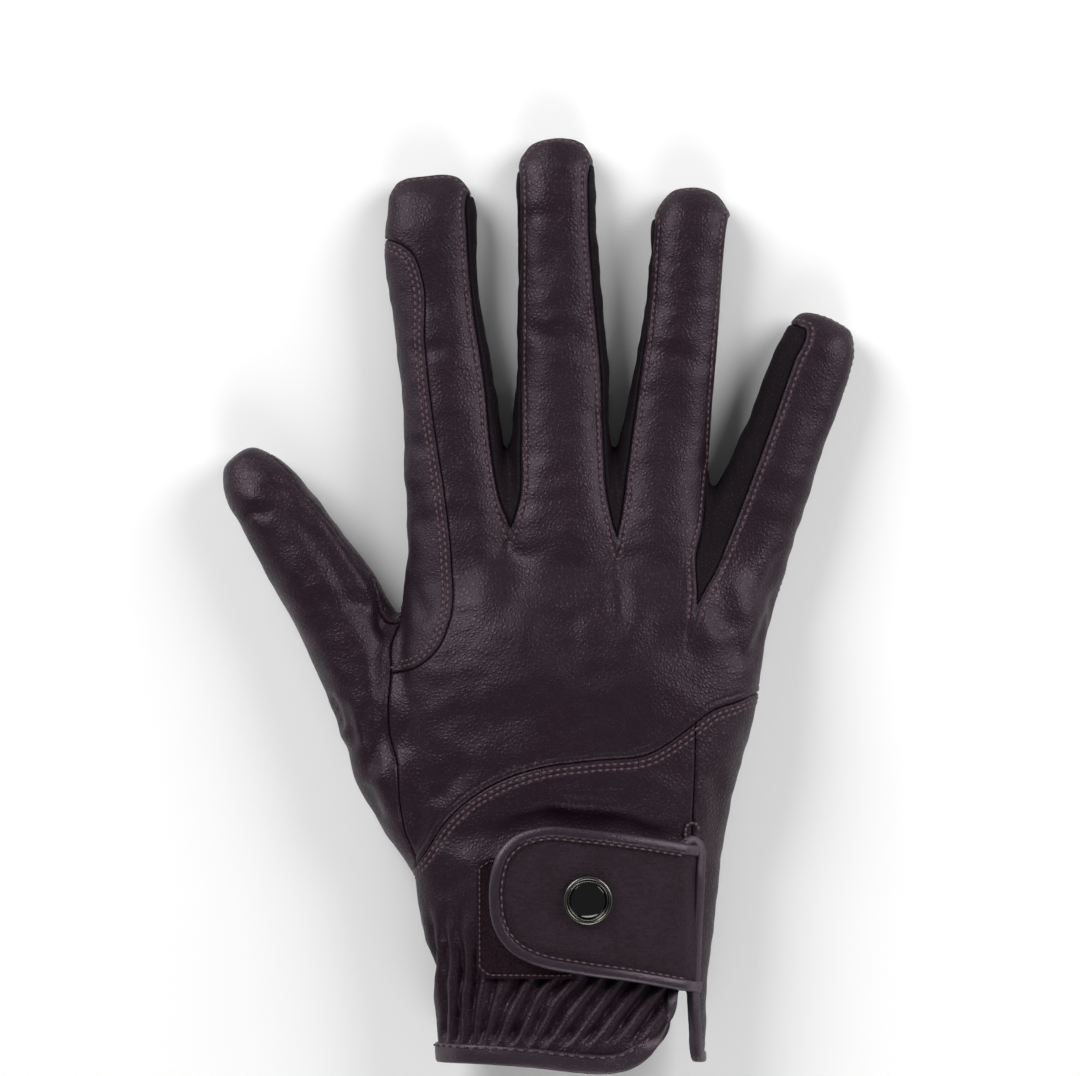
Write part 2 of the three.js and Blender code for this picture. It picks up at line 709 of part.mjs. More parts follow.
const LEATHER = { color: "#32252f", roughness: 0.55 };
const PANEL_LEATHER = { color: "#382f36", roughness: 0.6 };
const STRAP_LEATHER = { color: "#271d25", roughness: 0.8 };
const PIPING_LEATHER = { color: "#443b45", roughness: 0.4 };
const BINDING_LEATHER = { color: "#312832", roughness: 0.5 };
const FASTENING = { color: "#1d171b", roughness: 0.95 };
const BADGE_METAL = { color: "#6a6762", roughness: 0.3, metalness: 1 };
const BADGE_GLOSS = { color: "#0b0b0b", roughness: 0.12 };

function addLeatherPanels() {
  const [thumb, withoutThumb] = cutAtSeam(wholeWall(), thumbRegion);
  const thumbBack = (grow) => aboveHeight(THUMB_SEAM - grow);
  const [back, front] = cutAtSeam(thumb, thumbBack);
  addPiece("thumb_back", back, LEATHER);
  addPiece("thumb_front", front, LEATHER);
  let rest = withoutThumb;
  const take = (name, region, material) => {
    const [piece, left] = cutAtSeam(rest, region);
    addPiece(name, piece, material);
    rest = left;
  };
  take("cuff_yoke", yokeRegion, LEATHER);
  take("index_side_panel", sidePanelRegion, PANEL_LEATHER);
  const names = Object.keys(FINGERS);
  for (let i = 0; i + 1 < names.length; i++) {
    const region = (grow) => fourchetteRegion(FINGERS[names[i]], FINGERS[names[i + 1]], grow);
    take(`fourchette_${names[i]}_${names[i + 1]}`, region, LEATHER);
  }
  take("back_panel", backRegion, LEATHER);
  addPiece("palm_panel", rest, LEATHER);
}

function addFastening() {
  const { body, piping } = strapSolids();
  addPiece("cuff_binding", bindingSolid(), BINDING_LEATHER);
  addPiece("strap", body, STRAP_LEATHER);
  addPiece("strap_binding", piping, PIPING_LEATHER);
  addPiece("loop_patch", patch(LOOP_AREA, CLEARANCE, CLEARANCE + LOOP_THICKNESS), FASTENING);
  addPiece("hook_patch", patch(HOOK_AREA, UNDER_HOOK, UNDER_HOOK + HOOK_THICKNESS), FASTENING);
}

// Height of the strap's highest place under the badge
function strapTop(at, radius) {
  const heights = [];
  for (let i = 0; i < 16; i++) {
    const x = at.x + radius * Math.cos((Math.PI * i) / 8);
    const y = at.y + radius * Math.sin((Math.PI * i) / 8);
    heights.push(handHeight(x, y) + strapLift(x) + STRAP_THICKNESS);
  }
  return Math.max(...heights);
}

function addBadge() {
  const at = strapPoint(BADGE_AT);
  const height = strapTop(at, BADGE_DIAMETER / 2) + CLEARANCE;
  for (const piece of [
    addPiece("badge_ring", badgeRing(), BADGE_METAL),
    addPiece("badge_dome", badgeDome(), BADGE_GLOSS),
  ]) {
    piece.position.set(at.x, at.y, height);
  }
}

addLeatherPanels();
addFastening();
addBadge();

// The origin is under the middle of the glove's box, on the surface
const box = new THREE.Box3().setFromObject(glove);
const centre = box.getCenter(new THREE.Vector3());
glove.position.set(-centre.x, -centre.y, -box.min.z);

export default glove;
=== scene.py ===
# %% [markdown]
# # A leather riding glove
# The glove lies palm down. It is cut from panels of soft leather: a back, a palm, a side panel on
# the index finger, a set-in thumb, strips between the fingers, a wrist yoke and a gathered cuff.
# A strap with a piped edge closes it. Each panel here is one piece, as on the cutting table.

# %% Frame and tools
import json
import math
import bmesh
import bpy
import numpy as np
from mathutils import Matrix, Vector, noise
from mathutils.bvhtree import BVHTree

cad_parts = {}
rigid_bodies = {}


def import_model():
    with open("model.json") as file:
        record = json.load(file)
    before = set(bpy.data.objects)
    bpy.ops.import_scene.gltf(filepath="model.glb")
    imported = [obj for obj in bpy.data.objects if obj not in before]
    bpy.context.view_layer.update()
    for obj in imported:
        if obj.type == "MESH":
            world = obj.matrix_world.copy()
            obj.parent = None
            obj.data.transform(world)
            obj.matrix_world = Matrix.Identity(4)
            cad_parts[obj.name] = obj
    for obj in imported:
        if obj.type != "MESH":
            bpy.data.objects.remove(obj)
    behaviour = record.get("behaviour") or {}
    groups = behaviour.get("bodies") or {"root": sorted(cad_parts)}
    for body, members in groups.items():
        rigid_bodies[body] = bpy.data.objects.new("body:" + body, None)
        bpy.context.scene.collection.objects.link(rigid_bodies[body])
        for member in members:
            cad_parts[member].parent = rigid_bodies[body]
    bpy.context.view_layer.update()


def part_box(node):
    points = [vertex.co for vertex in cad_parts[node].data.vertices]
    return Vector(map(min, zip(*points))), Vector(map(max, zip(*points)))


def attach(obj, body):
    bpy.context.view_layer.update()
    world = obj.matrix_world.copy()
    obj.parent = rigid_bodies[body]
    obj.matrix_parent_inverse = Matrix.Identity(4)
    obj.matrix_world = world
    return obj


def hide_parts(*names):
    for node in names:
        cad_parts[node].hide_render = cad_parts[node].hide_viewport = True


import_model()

# %% [markdown]
# Lengths are millimetres until a mesh is made. Tables hold shares of the palm's width for x and of
# the glove's length for y, so they read the same for any size of hand. The stud on the strap is a
# turned part whose place is known, so its box tells how far the frame is moved from the tables.

# %% Driving sizes
PALM_WIDTH = 92
GLOVE_LENGTH = 240
HAND_HEIGHT = 33
FINGER_HEIGHT = 16
THUMB_WIDTH = 25
THUMB_HEIGHT = 22
STRAP_LENGTH = 53
STRAP_WIDTH = 37
BADGE_DIAMETER = 12.6
LEATHER = 1.3
INSIDE_CLEAR = 0.1
METRES = 0.001
FAR = 400

STRAP_SEWN_AT = (0.377, -0.327)
BADGE_AT = (0.528, 0.075)


def place(shares):
    return np.asarray(shares, float) * (PALM_WIDTH, GLOVE_LENGTH)


def strap_place(shares):
    along, across = np.asarray(shares, float).T
    sewn = place(STRAP_SEWN_AT)
    return np.stack([sewn[0] - along * STRAP_LENGTH, sewn[1] + across * STRAP_WIDTH], -1)


ring_box = np.array(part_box("badge_ring"))
badge_place = strap_place(BADGE_AT)
frame_shift = np.append(ring_box.mean(axis=0)[:2] / METRES - badge_place, 0)
print("tables are moved by", frame_shift.round(2), "mm")

# %% [markdown]
# Sizes between the rows of a table follow a smooth curve through them. A straight line would leave
# a kink at each row, which shows as a facet on soft leather.


# %% Curves through tables
def smooth_between(known, values, wanted):
    known = np.asarray(known, float)
    values = np.asarray(values, float)
    slopes = np.gradient(values, known, axis=0)
    wanted = np.clip(wanted, known[0], known[-1])
    i = np.clip(np.searchsorted(known, wanted, side="right") - 1, 0, len(known) - 2)
    gap = known[i + 1] - known[i]
    t = (wanted - known[i]) / gap
    if values.ndim > 1:
        t, gap = t[:, None], gap[:, None]
    start = values[i] * (1 + 2 * t) * (1 - t) ** 2 + slopes[i] * gap * t * (1 - t) ** 2
    end = values[i + 1] * t * t * (3 - 2 * t) + slopes[i + 1] * gap * t * t * (t - 1)
    return start + end


def smooth_step(low, high, value):
    t = np.clip((np.asarray(value, float) - low) / (high - low), 0, 1)
    return t * t * (3 - 2 * t)


def smooth_line(points, step):
    points = np.asarray(points, float)
    lengths = np.append(0, np.cumsum(np.linalg.norm(np.diff(points, axis=0), axis=1)))
    count = max(int(lengths[-1] / step), 4)
    return smooth_between(lengths, points, np.linspace(0, lengths[-1], count))


def even_steps(points, step, closed=False):
    points = np.asarray(points, float)
    if closed:
        points = np.vstack([points, points[:1]])
    lengths = np.append(0, np.cumsum(np.linalg.norm(np.diff(points, axis=0), axis=1)))
    count = max(int(round(lengths[-1] / step)), 2)
    wanted = np.linspace(0, lengths[-1], count + 1)
    if closed:
        wanted = wanted[:-1]
    return np.stack([np.interp(wanted, lengths, column) for column in points.T], -1)

# %% [markdown]
# The fingers stand in one arch: low where they leave the hand, thinner to the tip. Each finger has
# its own outline. seam_left and seam_right are where the back panel ends on its sides, as shares
# of its width from its middle line; between two fingers those lines meet in a pointed slit.

# %% Finger tables
ARCH_ROWS = [
    {"along": -0.16, "low": 0.04, "high": 1.62},
    {"along": 0, "low": 0.04, "high": 1.5},
    {"along": 0.2, "low": 0.06, "high": 1.28},
    {"along": 0.4, "low": 0.1, "high": 1.11},
    {"along": 0.6, "low": 0.09, "high": 1.01},
    {"along": 0.8, "low": 0.02, "high": 0.92},
    {"along": 0.9, "low": -0.03, "high": 0.85},
    {"along": 0.95, "low": 0.0, "high": 0.76},
    {"along": 0.98, "low": 0.1, "high": 0.62},
]
OUTLINE_ALONG = [-0.16, 0, 0.06, 0.17, 0.4, 0.6, 0.8, 0.9, 0.95, 0.98]
SEAM_ALONG = [-0.12, -0.03, 0.06, 0.18, 0.4, 0.6, 0.8, 0.93, 1.0]
FINGERS = {
    "index": {
        "width": 23.5, "crown": 0.9, "root": (-0.288, 0.085), "tip": (-0.366, 0.454),
        "wide": [1.35, 1.28, 1.2, 1.11, 1.02, 0.975, 1.0, 0.98, 0.89, 0.74],
        "shift": [0.1, 0.09, 0.06, 0.02, 0, -0.045, -0.06, -0.03, -0.03, -0.03],
        "seam_left": [0.6, 0.6, 0.6, 0.6, 0.6, 0.6, 0.6, 0.6, 0.6],
        "seam_right": [0.66, 0.56, 0.48, 0.44, 0.425, 0.37, 0.366, 0.4, 0.5],
    },
    "middle": {
        "width": 23.5, "crown": 1, "root": (0.003, 0.085), "tip": (-0.014, 0.492),
        "wide": [1.5, 1.45, 1.28, 1.11, 1.0, 0.9, 0.865, 0.875, 0.82, 0.65],
        "shift": [0, 0, 0, 0, 0.045, 0.005, 0, -0.01, 0, 0],
        "seam_left": [0.66, 0.58, 0.47, 0.45, 0.44, 0.425, 0.412, 0.43, 0.5],
        "seam_right": [0.66, 0.575, 0.505, 0.477, 0.455, 0.39, 0.35, 0.38, 0.5],
    },
    "ring": {
        "width": 22.5, "crown": 1, "root": (0.277, 0.058), "tip": (0.369, 0.439),
        "wide": [1.35, 1.32, 1.22, 1.12, 1.0, 0.91, 0.85, 0.94, 0.78, 0.57],
        "shift": [-0.05, -0.06, -0.07, -0.07, -0.04, 0.025, -0.005, 0.035, 0.045, 0.04],
        "seam_left": [0.56, 0.53, 0.494, 0.476, 0.435, 0.4, 0.405, 0.435, 0.5],
        "seam_right": [0.46, 0.41, 0.46, 0.462, 0.445, 0.44, 0.42, 0.44, 0.5],
    },
    "little": {
        "width": 21, "crown": 0.86, "root": (0.493, 0.027), "tip": (0.737, 0.303),
        "wide": [1.3, 1.27, 1.24, 1.19, 1.06, 0.98, 0.963, 0.91, 0.8, 0.7],
        "shift": [-0.08, -0.1, -0.09, -0.07, -0.025, 0, 0.03, 0.055, 0.045, 0.04],
        "seam_left": [0.36, 0.3, 0.27, 0.25, 0.224, 0.21, 0.2, 0.2, 0.4],
        "seam_right": [0.8, 0.8, 0.8, 0.8, 0.8, 0.8, 0.8, 0.8, 0.8],
    },
}
CROWN_END = 0.4
FINGER_POWER = 2.3
DIGIT_RINGS = 90
DIGIT_SIDES = 56
CAP_TURNS = np.linspace(0.12, 0.97, 7) * math.pi / 2

# %% [markdown]
# The thumb is set in at the side of the hand and bends outwards. The hand is wide at the knuckles
# and narrow at the wrist.

# %% Thumb and hand tables
THUMB_SPINE = [
    (-0.33, -0.29), (-0.455, -0.159), (-0.565, -0.048), (-0.715, 0.051), (-0.826, 0.113),
    (-0.905, 0.155),
]
THUMB_ROWS = [
    {"along": 0, "wide": 0.55, "low": 0.0, "high": 0.95},
    {"along": 0.13, "wide": 0.86, "low": -0.05, "high": 1.08},
    {"along": 0.25, "wide": 1.0, "low": -0.05, "high": 1.14},
    {"along": 0.3, "wide": 0.97, "low": -0.05, "high": 1.08},
    {"along": 0.36, "wide": 1.02, "low": -0.05, "high": 1.13},
    {"along": 0.42, "wide": 1.02, "low": -0.04, "high": 1.08},
    {"along": 0.6, "wide": 0.96, "low": -0.01, "high": 0.99},
    {"along": 0.77, "wide": 0.87, "low": -0.02, "high": 0.93},
    {"along": 0.88, "wide": 0.77, "low": -0.03, "high": 0.84},
    {"along": 0.94, "wide": 0.66, "low": 0.0, "high": 0.75},
    {"along": 0.98, "wide": 0.46, "low": 0.12, "high": 0.6},
]
HAND_ROWS = [
    {"along": -0.54, "left": -0.333, "right": 0.391, "low": 0.0, "high": 0.96},
    {"along": -0.466, "left": -0.346, "right": 0.399, "low": -0.02, "high": 0.98},
    {"along": -0.36, "left": -0.378, "right": 0.418, "low": -0.02, "high": 0.96},
    {"along": -0.27, "left": -0.416, "right": 0.45, "low": -0.03, "high": 0.98},
    {"along": -0.245, "left": -0.422, "right": 0.462, "low": -0.03, "high": 0.945},
    {"along": -0.215, "left": -0.432, "right": 0.477, "low": -0.03, "high": 0.985},
    {"along": -0.149, "left": -0.449, "right": 0.518, "low": -0.03, "high": 1.0},
    {"along": -0.085, "left": -0.455, "right": 0.549, "low": -0.03, "high": 0.99},
    {"along": -0.021, "left": -0.443, "right": 0.582, "low": -0.03, "high": 0.92},
    {"along": 0.03, "left": -0.43, "right": 0.585, "low": -0.02, "high": 0.78},
    {"along": 0.06, "left": -0.415, "right": 0.56, "low": -0.01, "high": 0.64},
    {"along": 0.09, "left": -0.4, "right": 0.5, "low": 0.02, "high": 0.42},
    {"along": 0.12, "left": -0.37, "right": 0.43, "low": 0.06, "high": 0.25},
]
HAND_POWER = 2.4
HAND_RINGS = 160
HAND_SIDES = 120


def column(rows, name):
    return [row[name] for row in rows]

# %% [markdown]
# ## The soft body
# Fingers, thumb and hand are lofts: rings of points along a line, each a rounded section. They
# could be joined with booleans, but those leave hard creases. Here one voxel remesh melts them
# together, and a few rounds of relaxing make the webs between the fingers as soft as leather.

# %% Lofts
def rings_along(centres, across, halves, lows, highs, power, sides):
    angles = np.linspace(0, 2 * math.pi, sides, endpoint=False)
    cos, sin = np.cos(angles), np.sin(angles)
    u = np.sign(cos) * np.abs(cos) ** (2 / power)
    v = np.sign(sin) * np.abs(sin) ** (2 / power)
    middle, rise = (highs + lows) / 2, (highs - lows) / 2
    flat = centres[:, None] + across[:, None] * (halves[:, None] * u)[..., None]
    return np.concatenate([flat, (middle[:, None] + rise[:, None] * v)[..., None]], -1)


def ring_quads(count, sides, closed=False):
    """Faces between the rings of a grid of points; each ring is closed in itself."""
    rows = np.arange(count if closed else count - 1)
    k, i = (grid.ravel() for grid in np.meshgrid(rows, np.arange(sides), indexing="ij"))
    j, ahead = (i + 1) % sides, (k + 1) % count
    return np.stack([k * sides + i, k * sides + j, ahead * sides + j, ahead * sides + i], 1)


def loft(rings):
    count, sides = rings.shape[:2]
    points = np.vstack([rings.reshape(-1, 3), rings[0].mean(0), rings[-1].mean(0)])
    quads = ring_quads(count, sides)
    skin = np.concatenate([quads[:, [0, 1, 2]], quads[:, [0, 2, 3]]])
    i = np.arange(sides)
    j = (i + 1) % sides
    start = np.stack([np.full(sides, count * sides), j, i], -1)
    last = (count - 1) * sides
    end = np.stack([np.full(sides, count * sides + 1), last + i, last + j], -1)
    return points, np.concatenate([skin, start, end])


def digit_stations(rows):
    """Places along a digit, with closer ones that round its tip off, and how far each is drawn in."""
    body = np.linspace(rows[0], rows[-1], DIGIT_RINGS)
    cap = rows[-1] + (1 - rows[-1]) * np.sin(CAP_TURNS)
    return np.append(body, cap), np.append(np.ones(DIGIT_RINGS), np.cos(CAP_TURNS))


def finger_line(finger):
    root, tip = place(finger["root"]), place(finger["tip"])
    length = np.linalg.norm(tip - root)
    way = (tip - root) / length
    return root, way, np.array([way[1], -way[0]]), length


def finger_loft(finger):
    root, way, across, length = finger_line(finger)
    arch = column(ARCH_ROWS, "along")
    along, round_off = digit_stations(arch)
    wide = smooth_between(OUTLINE_ALONG, finger["wide"], along) * round_off
    shift = smooth_between(OUTLINE_ALONG, finger["shift"], along)
    low = smooth_between(arch, column(ARCH_ROWS, "low"), along) * FINGER_HEIGHT
    high = smooth_between(arch, column(ARCH_ROWS, "high"), along) * FINGER_HEIGHT
    high *= finger["crown"] + (1 - finger["crown"]) * np.clip(along / CROWN_END, 0, 1)
    middle = (low + high) / 2
    low, high = middle + (low - middle) * round_off, middle + (high - middle) * round_off
    centres = root + way * (along * length)[:, None] + across * (shift * finger["width"])[:, None]
    sideways = np.tile(across, (len(along), 1))
    half = wide * finger["width"] / 2
    return loft(rings_along(centres, sideways, half, low, high, FINGER_POWER, DIGIT_SIDES))


thumb_line = smooth_line(place(THUMB_SPINE), 0.8)
thumb_steps = np.append(0, np.cumsum(np.linalg.norm(np.diff(thumb_line, axis=0), axis=1)))
thumb_length = thumb_steps[-1]


def thumb_loft():
    rows = column(THUMB_ROWS, "along")
    along, round_off = digit_stations(rows)
    wide, low, high = (
        smooth_between(rows, column(THUMB_ROWS, name), along) for name in ("wide", "low", "high")
    )
    low, high = low * THUMB_HEIGHT, high * THUMB_HEIGHT
    middle = (low + high) / 2
    low, high = middle + (low - middle) * round_off, middle + (high - middle) * round_off
    centres = smooth_between(thumb_steps, thumb_line, along * thumb_length)
    way = np.gradient(centres, axis=0)
    way /= np.linalg.norm(way, axis=1)[:, None]
    across = np.stack([way[:, 1], -way[:, 0]], -1)
    half = wide * round_off * THUMB_WIDTH / 2
    return loft(rings_along(centres, across, half, low, high, FINGER_POWER, DIGIT_SIDES))


def hand_section(y):
    rows = column(HAND_ROWS, "along")
    left, right, low, high = (
        smooth_between(rows, column(HAND_ROWS, name), np.asarray(y) / GLOVE_LENGTH)
        for name in ("left", "right", "low", "high")
    )
    return left * PALM_WIDTH, right * PALM_WIDTH, low * HAND_HEIGHT, high * HAND_HEIGHT


def hand_loft():
    rows = column(HAND_ROWS, "along")
    y = np.linspace(rows[0], rows[-1], HAND_RINGS) * GLOVE_LENGTH
    left, right, low, high = hand_section(y)
    centres = np.stack([(left + right) / 2, y], -1)
    across = np.tile([1.0, 0.0], (len(y), 1))
    half = (right - left) / 2
    return loft(rings_along(centres, across, half, low, high, HAND_POWER, HAND_SIDES))


def joined(meshes):
    points, faces, start = [], [], 0
    for mesh_points, mesh_faces in meshes:
        points.append(mesh_points)
        faces.append(mesh_faces + start)
        start += len(mesh_points)
    return np.vstack(points), np.vstack(faces)


def mesh_from(name, points, faces, edges=()):
    """A mesh from places in the tables' millimetres, moved to the glove's place in the frame."""
    mesh = bpy.data.meshes.new(name)
    corners = faces.tolist() if isinstance(faces, np.ndarray) else faces
    mesh.from_pydata(((points + frame_shift) * METRES).tolist(), edges, corners)
    return mesh


def put(name, data):
    """Puts a mesh, lamp or camera into the scene as an object at the origin."""
    made = bpy.data.objects.new(name, data)
    bpy.context.scene.collection.objects.link(made)
    return made

# %% [markdown]
# The lofts overlap where a finger meets the hand. The remesh walks over them with a fine grid
# and gives one closed skin of even triangles, small enough for the folds and pleats that follow.

# %% Melted together
VOXEL = 0.87
SOFTENING_ROUNDS = 8


def melted(points, faces, voxel):
    rough = put("rough", mesh_from("rough", points, faces))
    remesh = rough.modifiers.new("melt", "REMESH")
    remesh.mode = "VOXEL"
    remesh.voxel_size = voxel * METRES
    result = rough.evaluated_get(bpy.context.evaluated_depsgraph_get()).to_mesh()
    result.calc_loop_triangles()
    places = np.empty(len(result.vertices) * 3, np.float32)
    result.vertices.foreach_get("co", places)
    corners = np.empty(len(result.loop_triangles) * 3, np.int32)
    result.loop_triangles.foreach_get("vertices", corners)
    bpy.data.objects.remove(rough)
    return places.reshape(-1, 3).astype(float) / METRES - frame_shift, corners.reshape(-1, 3)


def relaxed(points, faces, rounds, share=0.5):
    a = np.concatenate([faces[:, 0], faces[:, 1], faces[:, 2]])
    b = np.concatenate([faces[:, 1], faces[:, 2], faces[:, 0]])
    count = np.bincount(a, minlength=len(points))[:, None]
    for _ in range(rounds):
        total = np.stack([np.bincount(a, points[b, k], len(points)) for k in range(3)], -1)
        points = points + (total / count - points) * share
    return points


def normals_of(points, faces):
    a, b, c = points[faces[:, 0]], points[faces[:, 1]], points[faces[:, 2]]
    face = np.cross(b - a, c - a)
    total = np.zeros_like(points)
    for k in range(3):
        for axis in range(3):
            total[:, axis] += np.bincount(faces[:, k], face[:, axis], len(points))
    return total / np.maximum(np.linalg.norm(total, axis=1), 1e-12)[:, None]


lofts = [hand_loft(), thumb_loft()] + [finger_loft(finger) for finger in FINGERS.values()]
body_points, body_faces = melted(*joined(lofts), VOXEL)
body_points = relaxed(body_points, body_faces, SOFTENING_ROUNDS)
print("soft body:", len(body_points), "points,", len(body_faces), "triangles")

# %% [markdown]
# ## Folds
# Leather that lies on a table shows where a hand has bent it. Each fold is a short line with a
# width and a depth, pressed into the skin along its normals; a negative depth is a ridge. Between
# them a slow noise keeps the wide areas from looking blown up. The palm is flat on the table.

# %% Fold tables
BACK_FOLDS = [
    {"line": [(-0.144, 0.07), (-0.13, 0.02), (-0.125, -0.02)], "width": 4.5, "depth": 0.9},
    {"line": [(0.15, 0.06), (0.155, 0.02), (0.16, -0.03)], "width": 3.0, "depth": 1.0},
    {"line": [(0.39, 0.0), (0.43, -0.015), (0.46, -0.04)], "width": 2.5, "depth": 0.9},
    {"line": [(0.64, 0.06), (0.58, 0.02), (0.54, -0.01)], "width": 2.2, "depth": 1.1},
    {"line": [(0.62, 0.02), (0.57, -0.03), (0.535, -0.06)], "width": 1.8, "depth": 1.2},
    {"line": [(0.6, -0.03), (0.555, -0.05), (0.5, -0.07)], "width": 1.6, "depth": 0.9},
    {"line": [(0.66, 0.05), (0.62, -0.01), (0.58, -0.055)], "width": 1.6, "depth": -0.6},
    {
        "line": [(-0.14, -0.225), (0.05, -0.235), (0.22, -0.243), (0.32, -0.262)],
        "width": 3.2, "depth": 1.1,
    },
    {"line": [(-0.1, -0.21), (0.06, -0.215), (0.2, -0.22)], "width": 2.0, "depth": -0.7},
    {"line": [(-0.36, -0.27), (-0.3, -0.31), (-0.26, -0.35)], "width": 3.5, "depth": 0.8},
    {"line": [(-0.3, -0.26), (-0.23, -0.29), (-0.2, -0.34)], "width": 2.5, "depth": -0.6},
    {"line": [(-0.08, -0.02), (0.0, -0.035), (0.08, -0.03)], "width": 6.0, "depth": 0.8},
    {"line": [(0.2, -0.03), (0.3, -0.05), (0.42, -0.045)], "width": 5.0, "depth": 0.8},
    {"line": [(-0.42, 0.13), (-0.4, 0.09), (-0.37, 0.07)], "width": 2.6, "depth": 0.9},
    {"line": [(-0.45, 0.17), (-0.4, 0.165), (-0.38, 0.15)], "width": 1.8, "depth": 0.5},
    {"line": [(-0.43, 0.03), (-0.4, 0.0), (-0.37, -0.03)], "width": 2.6, "depth": 0.8},
    {"line": [(-0.45, 0.27), (-0.4, 0.265), (-0.3, 0.27)], "width": 2.5, "depth": 0.5},
    {"line": [(-0.12, 0.29), (-0.02, 0.28), (0.1, 0.29)], "width": 2.5, "depth": 0.5},
    {"line": [(0.22, 0.27), (0.3, 0.26), (0.42, 0.27)], "width": 2.5, "depth": 0.5},
    {"line": [(-0.12, 0.4), (-0.05, 0.41), (0.02, 0.4)], "width": 1.8, "depth": 0.4},
    {"line": [(0.42, 0.03), (0.47, -0.02), (0.5, -0.08)], "width": 3.0, "depth": 1.0},
    {"line": [(-0.36, -0.14), (-0.2, -0.13), (-0.05, -0.11)], "width": 5.0, "depth": 0.7},
    {"line": [(-0.38, -0.22), (-0.32, -0.2), (-0.25, -0.16)], "width": 3.0, "depth": 0.8},
    {"line": [(0.42, -0.16), (0.44, -0.22), (0.42, -0.29)], "width": 2.6, "depth": 0.8},
    {"line": [(-0.02, -0.2), (0.1, -0.205), (0.2, -0.2)], "width": 1.5, "depth": 0.35},
]
THUMB_FOLDS = [
    {"line": [(-0.91, 0.118), (-0.86, 0.128), (-0.79, 0.12), (-0.73, 0.1)], "width": 1.5, "depth": 0.4},
    {"line": [(-0.9, 0.105), (-0.83, 0.11), (-0.77, 0.1)], "width": 1.3, "depth": -0.3},
    {"line": [(-0.89, 0.085), (-0.85, 0.093), (-0.8, 0.085)], "width": 1.2, "depth": 0.6},
    {"line": [(-0.655, -0.095), (-0.63, -0.12), (-0.61, -0.147)], "width": 1.8, "depth": 1.6},
    {"line": [(-0.625, -0.1), (-0.595, -0.13), (-0.57, -0.165)], "width": 1.6, "depth": 1.3},
    {"line": [(-0.64, -0.09), (-0.61, -0.12), (-0.59, -0.16)], "width": 1.4, "depth": -0.8},
    {"line": [(-0.53, -0.1), (-0.52, -0.15), (-0.54, -0.2)], "width": 2.4, "depth": 1.8},
    {"line": [(-0.57, 0.01), (-0.52, -0.01), (-0.46, -0.04)], "width": 2.4, "depth": 1.6},
    {"line": [(-0.55, 0.03), (-0.5, 0.015), (-0.46, -0.01)], "width": 1.8, "depth": -0.7},
    {"line": [(-0.56, -0.19), (-0.53, -0.21), (-0.5, -0.24)], "width": 1.8, "depth": 1.1},
    {
        "line": [(-0.831, 0.14), (-0.7065, 0.101), (-0.587, 0.037), (-0.5, -0.02), (-0.46, -0.085)],
        "width": 1.5, "depth": -0.8,
    },
    {
        "line": [(-0.84, 0.12), (-0.73, 0.084), (-0.615, 0.022), (-0.53, -0.04), (-0.49, -0.1)],
        "width": 2.2, "depth": 0.7,
    },
    {
        "line": [(-0.5, 0.04), (-0.475, -0.05), (-0.485, -0.13), (-0.45, -0.2)],
        "width": 3.2, "depth": 2.6,
    },
]
PALM_FOLDS = [
    {"line": [(-0.36, -0.09), (-0.2, -0.12), (-0.04, -0.155)], "width": 3.5, "depth": 1.6},
    {"line": [(-0.36, -0.12), (-0.24, -0.16), (-0.12, -0.22)], "width": 2.5, "depth": 1.0},
    {"line": [(-0.3, -0.05), (-0.2, -0.06), (-0.08, -0.07)], "width": 2.2, "depth": 1.0},
    {"line": [(-0.05, 0.03), (0.12, 0.0), (0.32, -0.02)], "width": 4.0, "depth": 1.0},
    {"line": [(0.12, -0.06), (0.22, -0.14), (0.26, -0.24)], "width": 4.0, "depth": 0.9},
    {"line": [(-0.4, 0.2), (-0.3, 0.19), (-0.2, 0.2)], "width": 2.0, "depth": 0.8},
    {"line": [(-0.12, 0.2), (0.0, 0.19), (0.12, 0.2)], "width": 2.0, "depth": 0.8},
    {"line": [(0.22, 0.19), (0.32, 0.18), (0.42, 0.19)], "width": 2.0, "depth": 0.8},
    {"line": [(0.52, 0.14), (0.6, 0.13), (0.68, 0.13)], "width": 2.0, "depth": 0.8},
]
BROAD_UNEVENNESS = 0.75
SMALL_UNEVENNESS = 0.34

# %% [markdown]
# A fold is deepest on its line and fades to both sides as a bell curve does. So each point of
# the skin needs its distance to the line, and its place along it so that the ends fade too.

# %% Distance to a line
def nearest_on(line, xy):
    """Distance of each place to a line, and how far along the line its nearest point lies."""
    best = np.full(len(xy), 1e9)
    along = np.zeros(len(xy))
    start = 0.0
    for a, b in zip(line[:-1], line[1:]):
        way = b - a
        length = np.linalg.norm(way)
        t = np.clip(((xy - a) @ way) / length**2, 0, 1)
        gap = np.linalg.norm(xy - a - t[:, None] * way, axis=1)
        closer = gap < best
        best = np.where(closer, gap, best)
        along = np.where(closer, start + t * length, along)
        start += length
    return best, along / start


def pressed(points, normals, folds, facing):
    """How far each point sinks along its normal for a list of folds on one side."""
    total = np.zeros(len(points))
    side = smooth_step(-0.1, 0.35, normals[:, 2] * facing)
    for fold in folds:
        line = smooth_line(place(fold["line"]), 1.0)
        gap, along = nearest_on(line, points[:, :2])
        fade = smooth_step(0, 0.3, along) * smooth_step(0, 0.3, 1 - along)
        total += fold["depth"] * np.exp(-((gap / fold["width"]) ** 2)) * fade * side
    return total


def slow_noise(points, size, seed):
    """A smooth unevenness about one size long; the seed says which."""
    return np.array([noise.noise(Vector(spot)) for spot in points / size + seed])


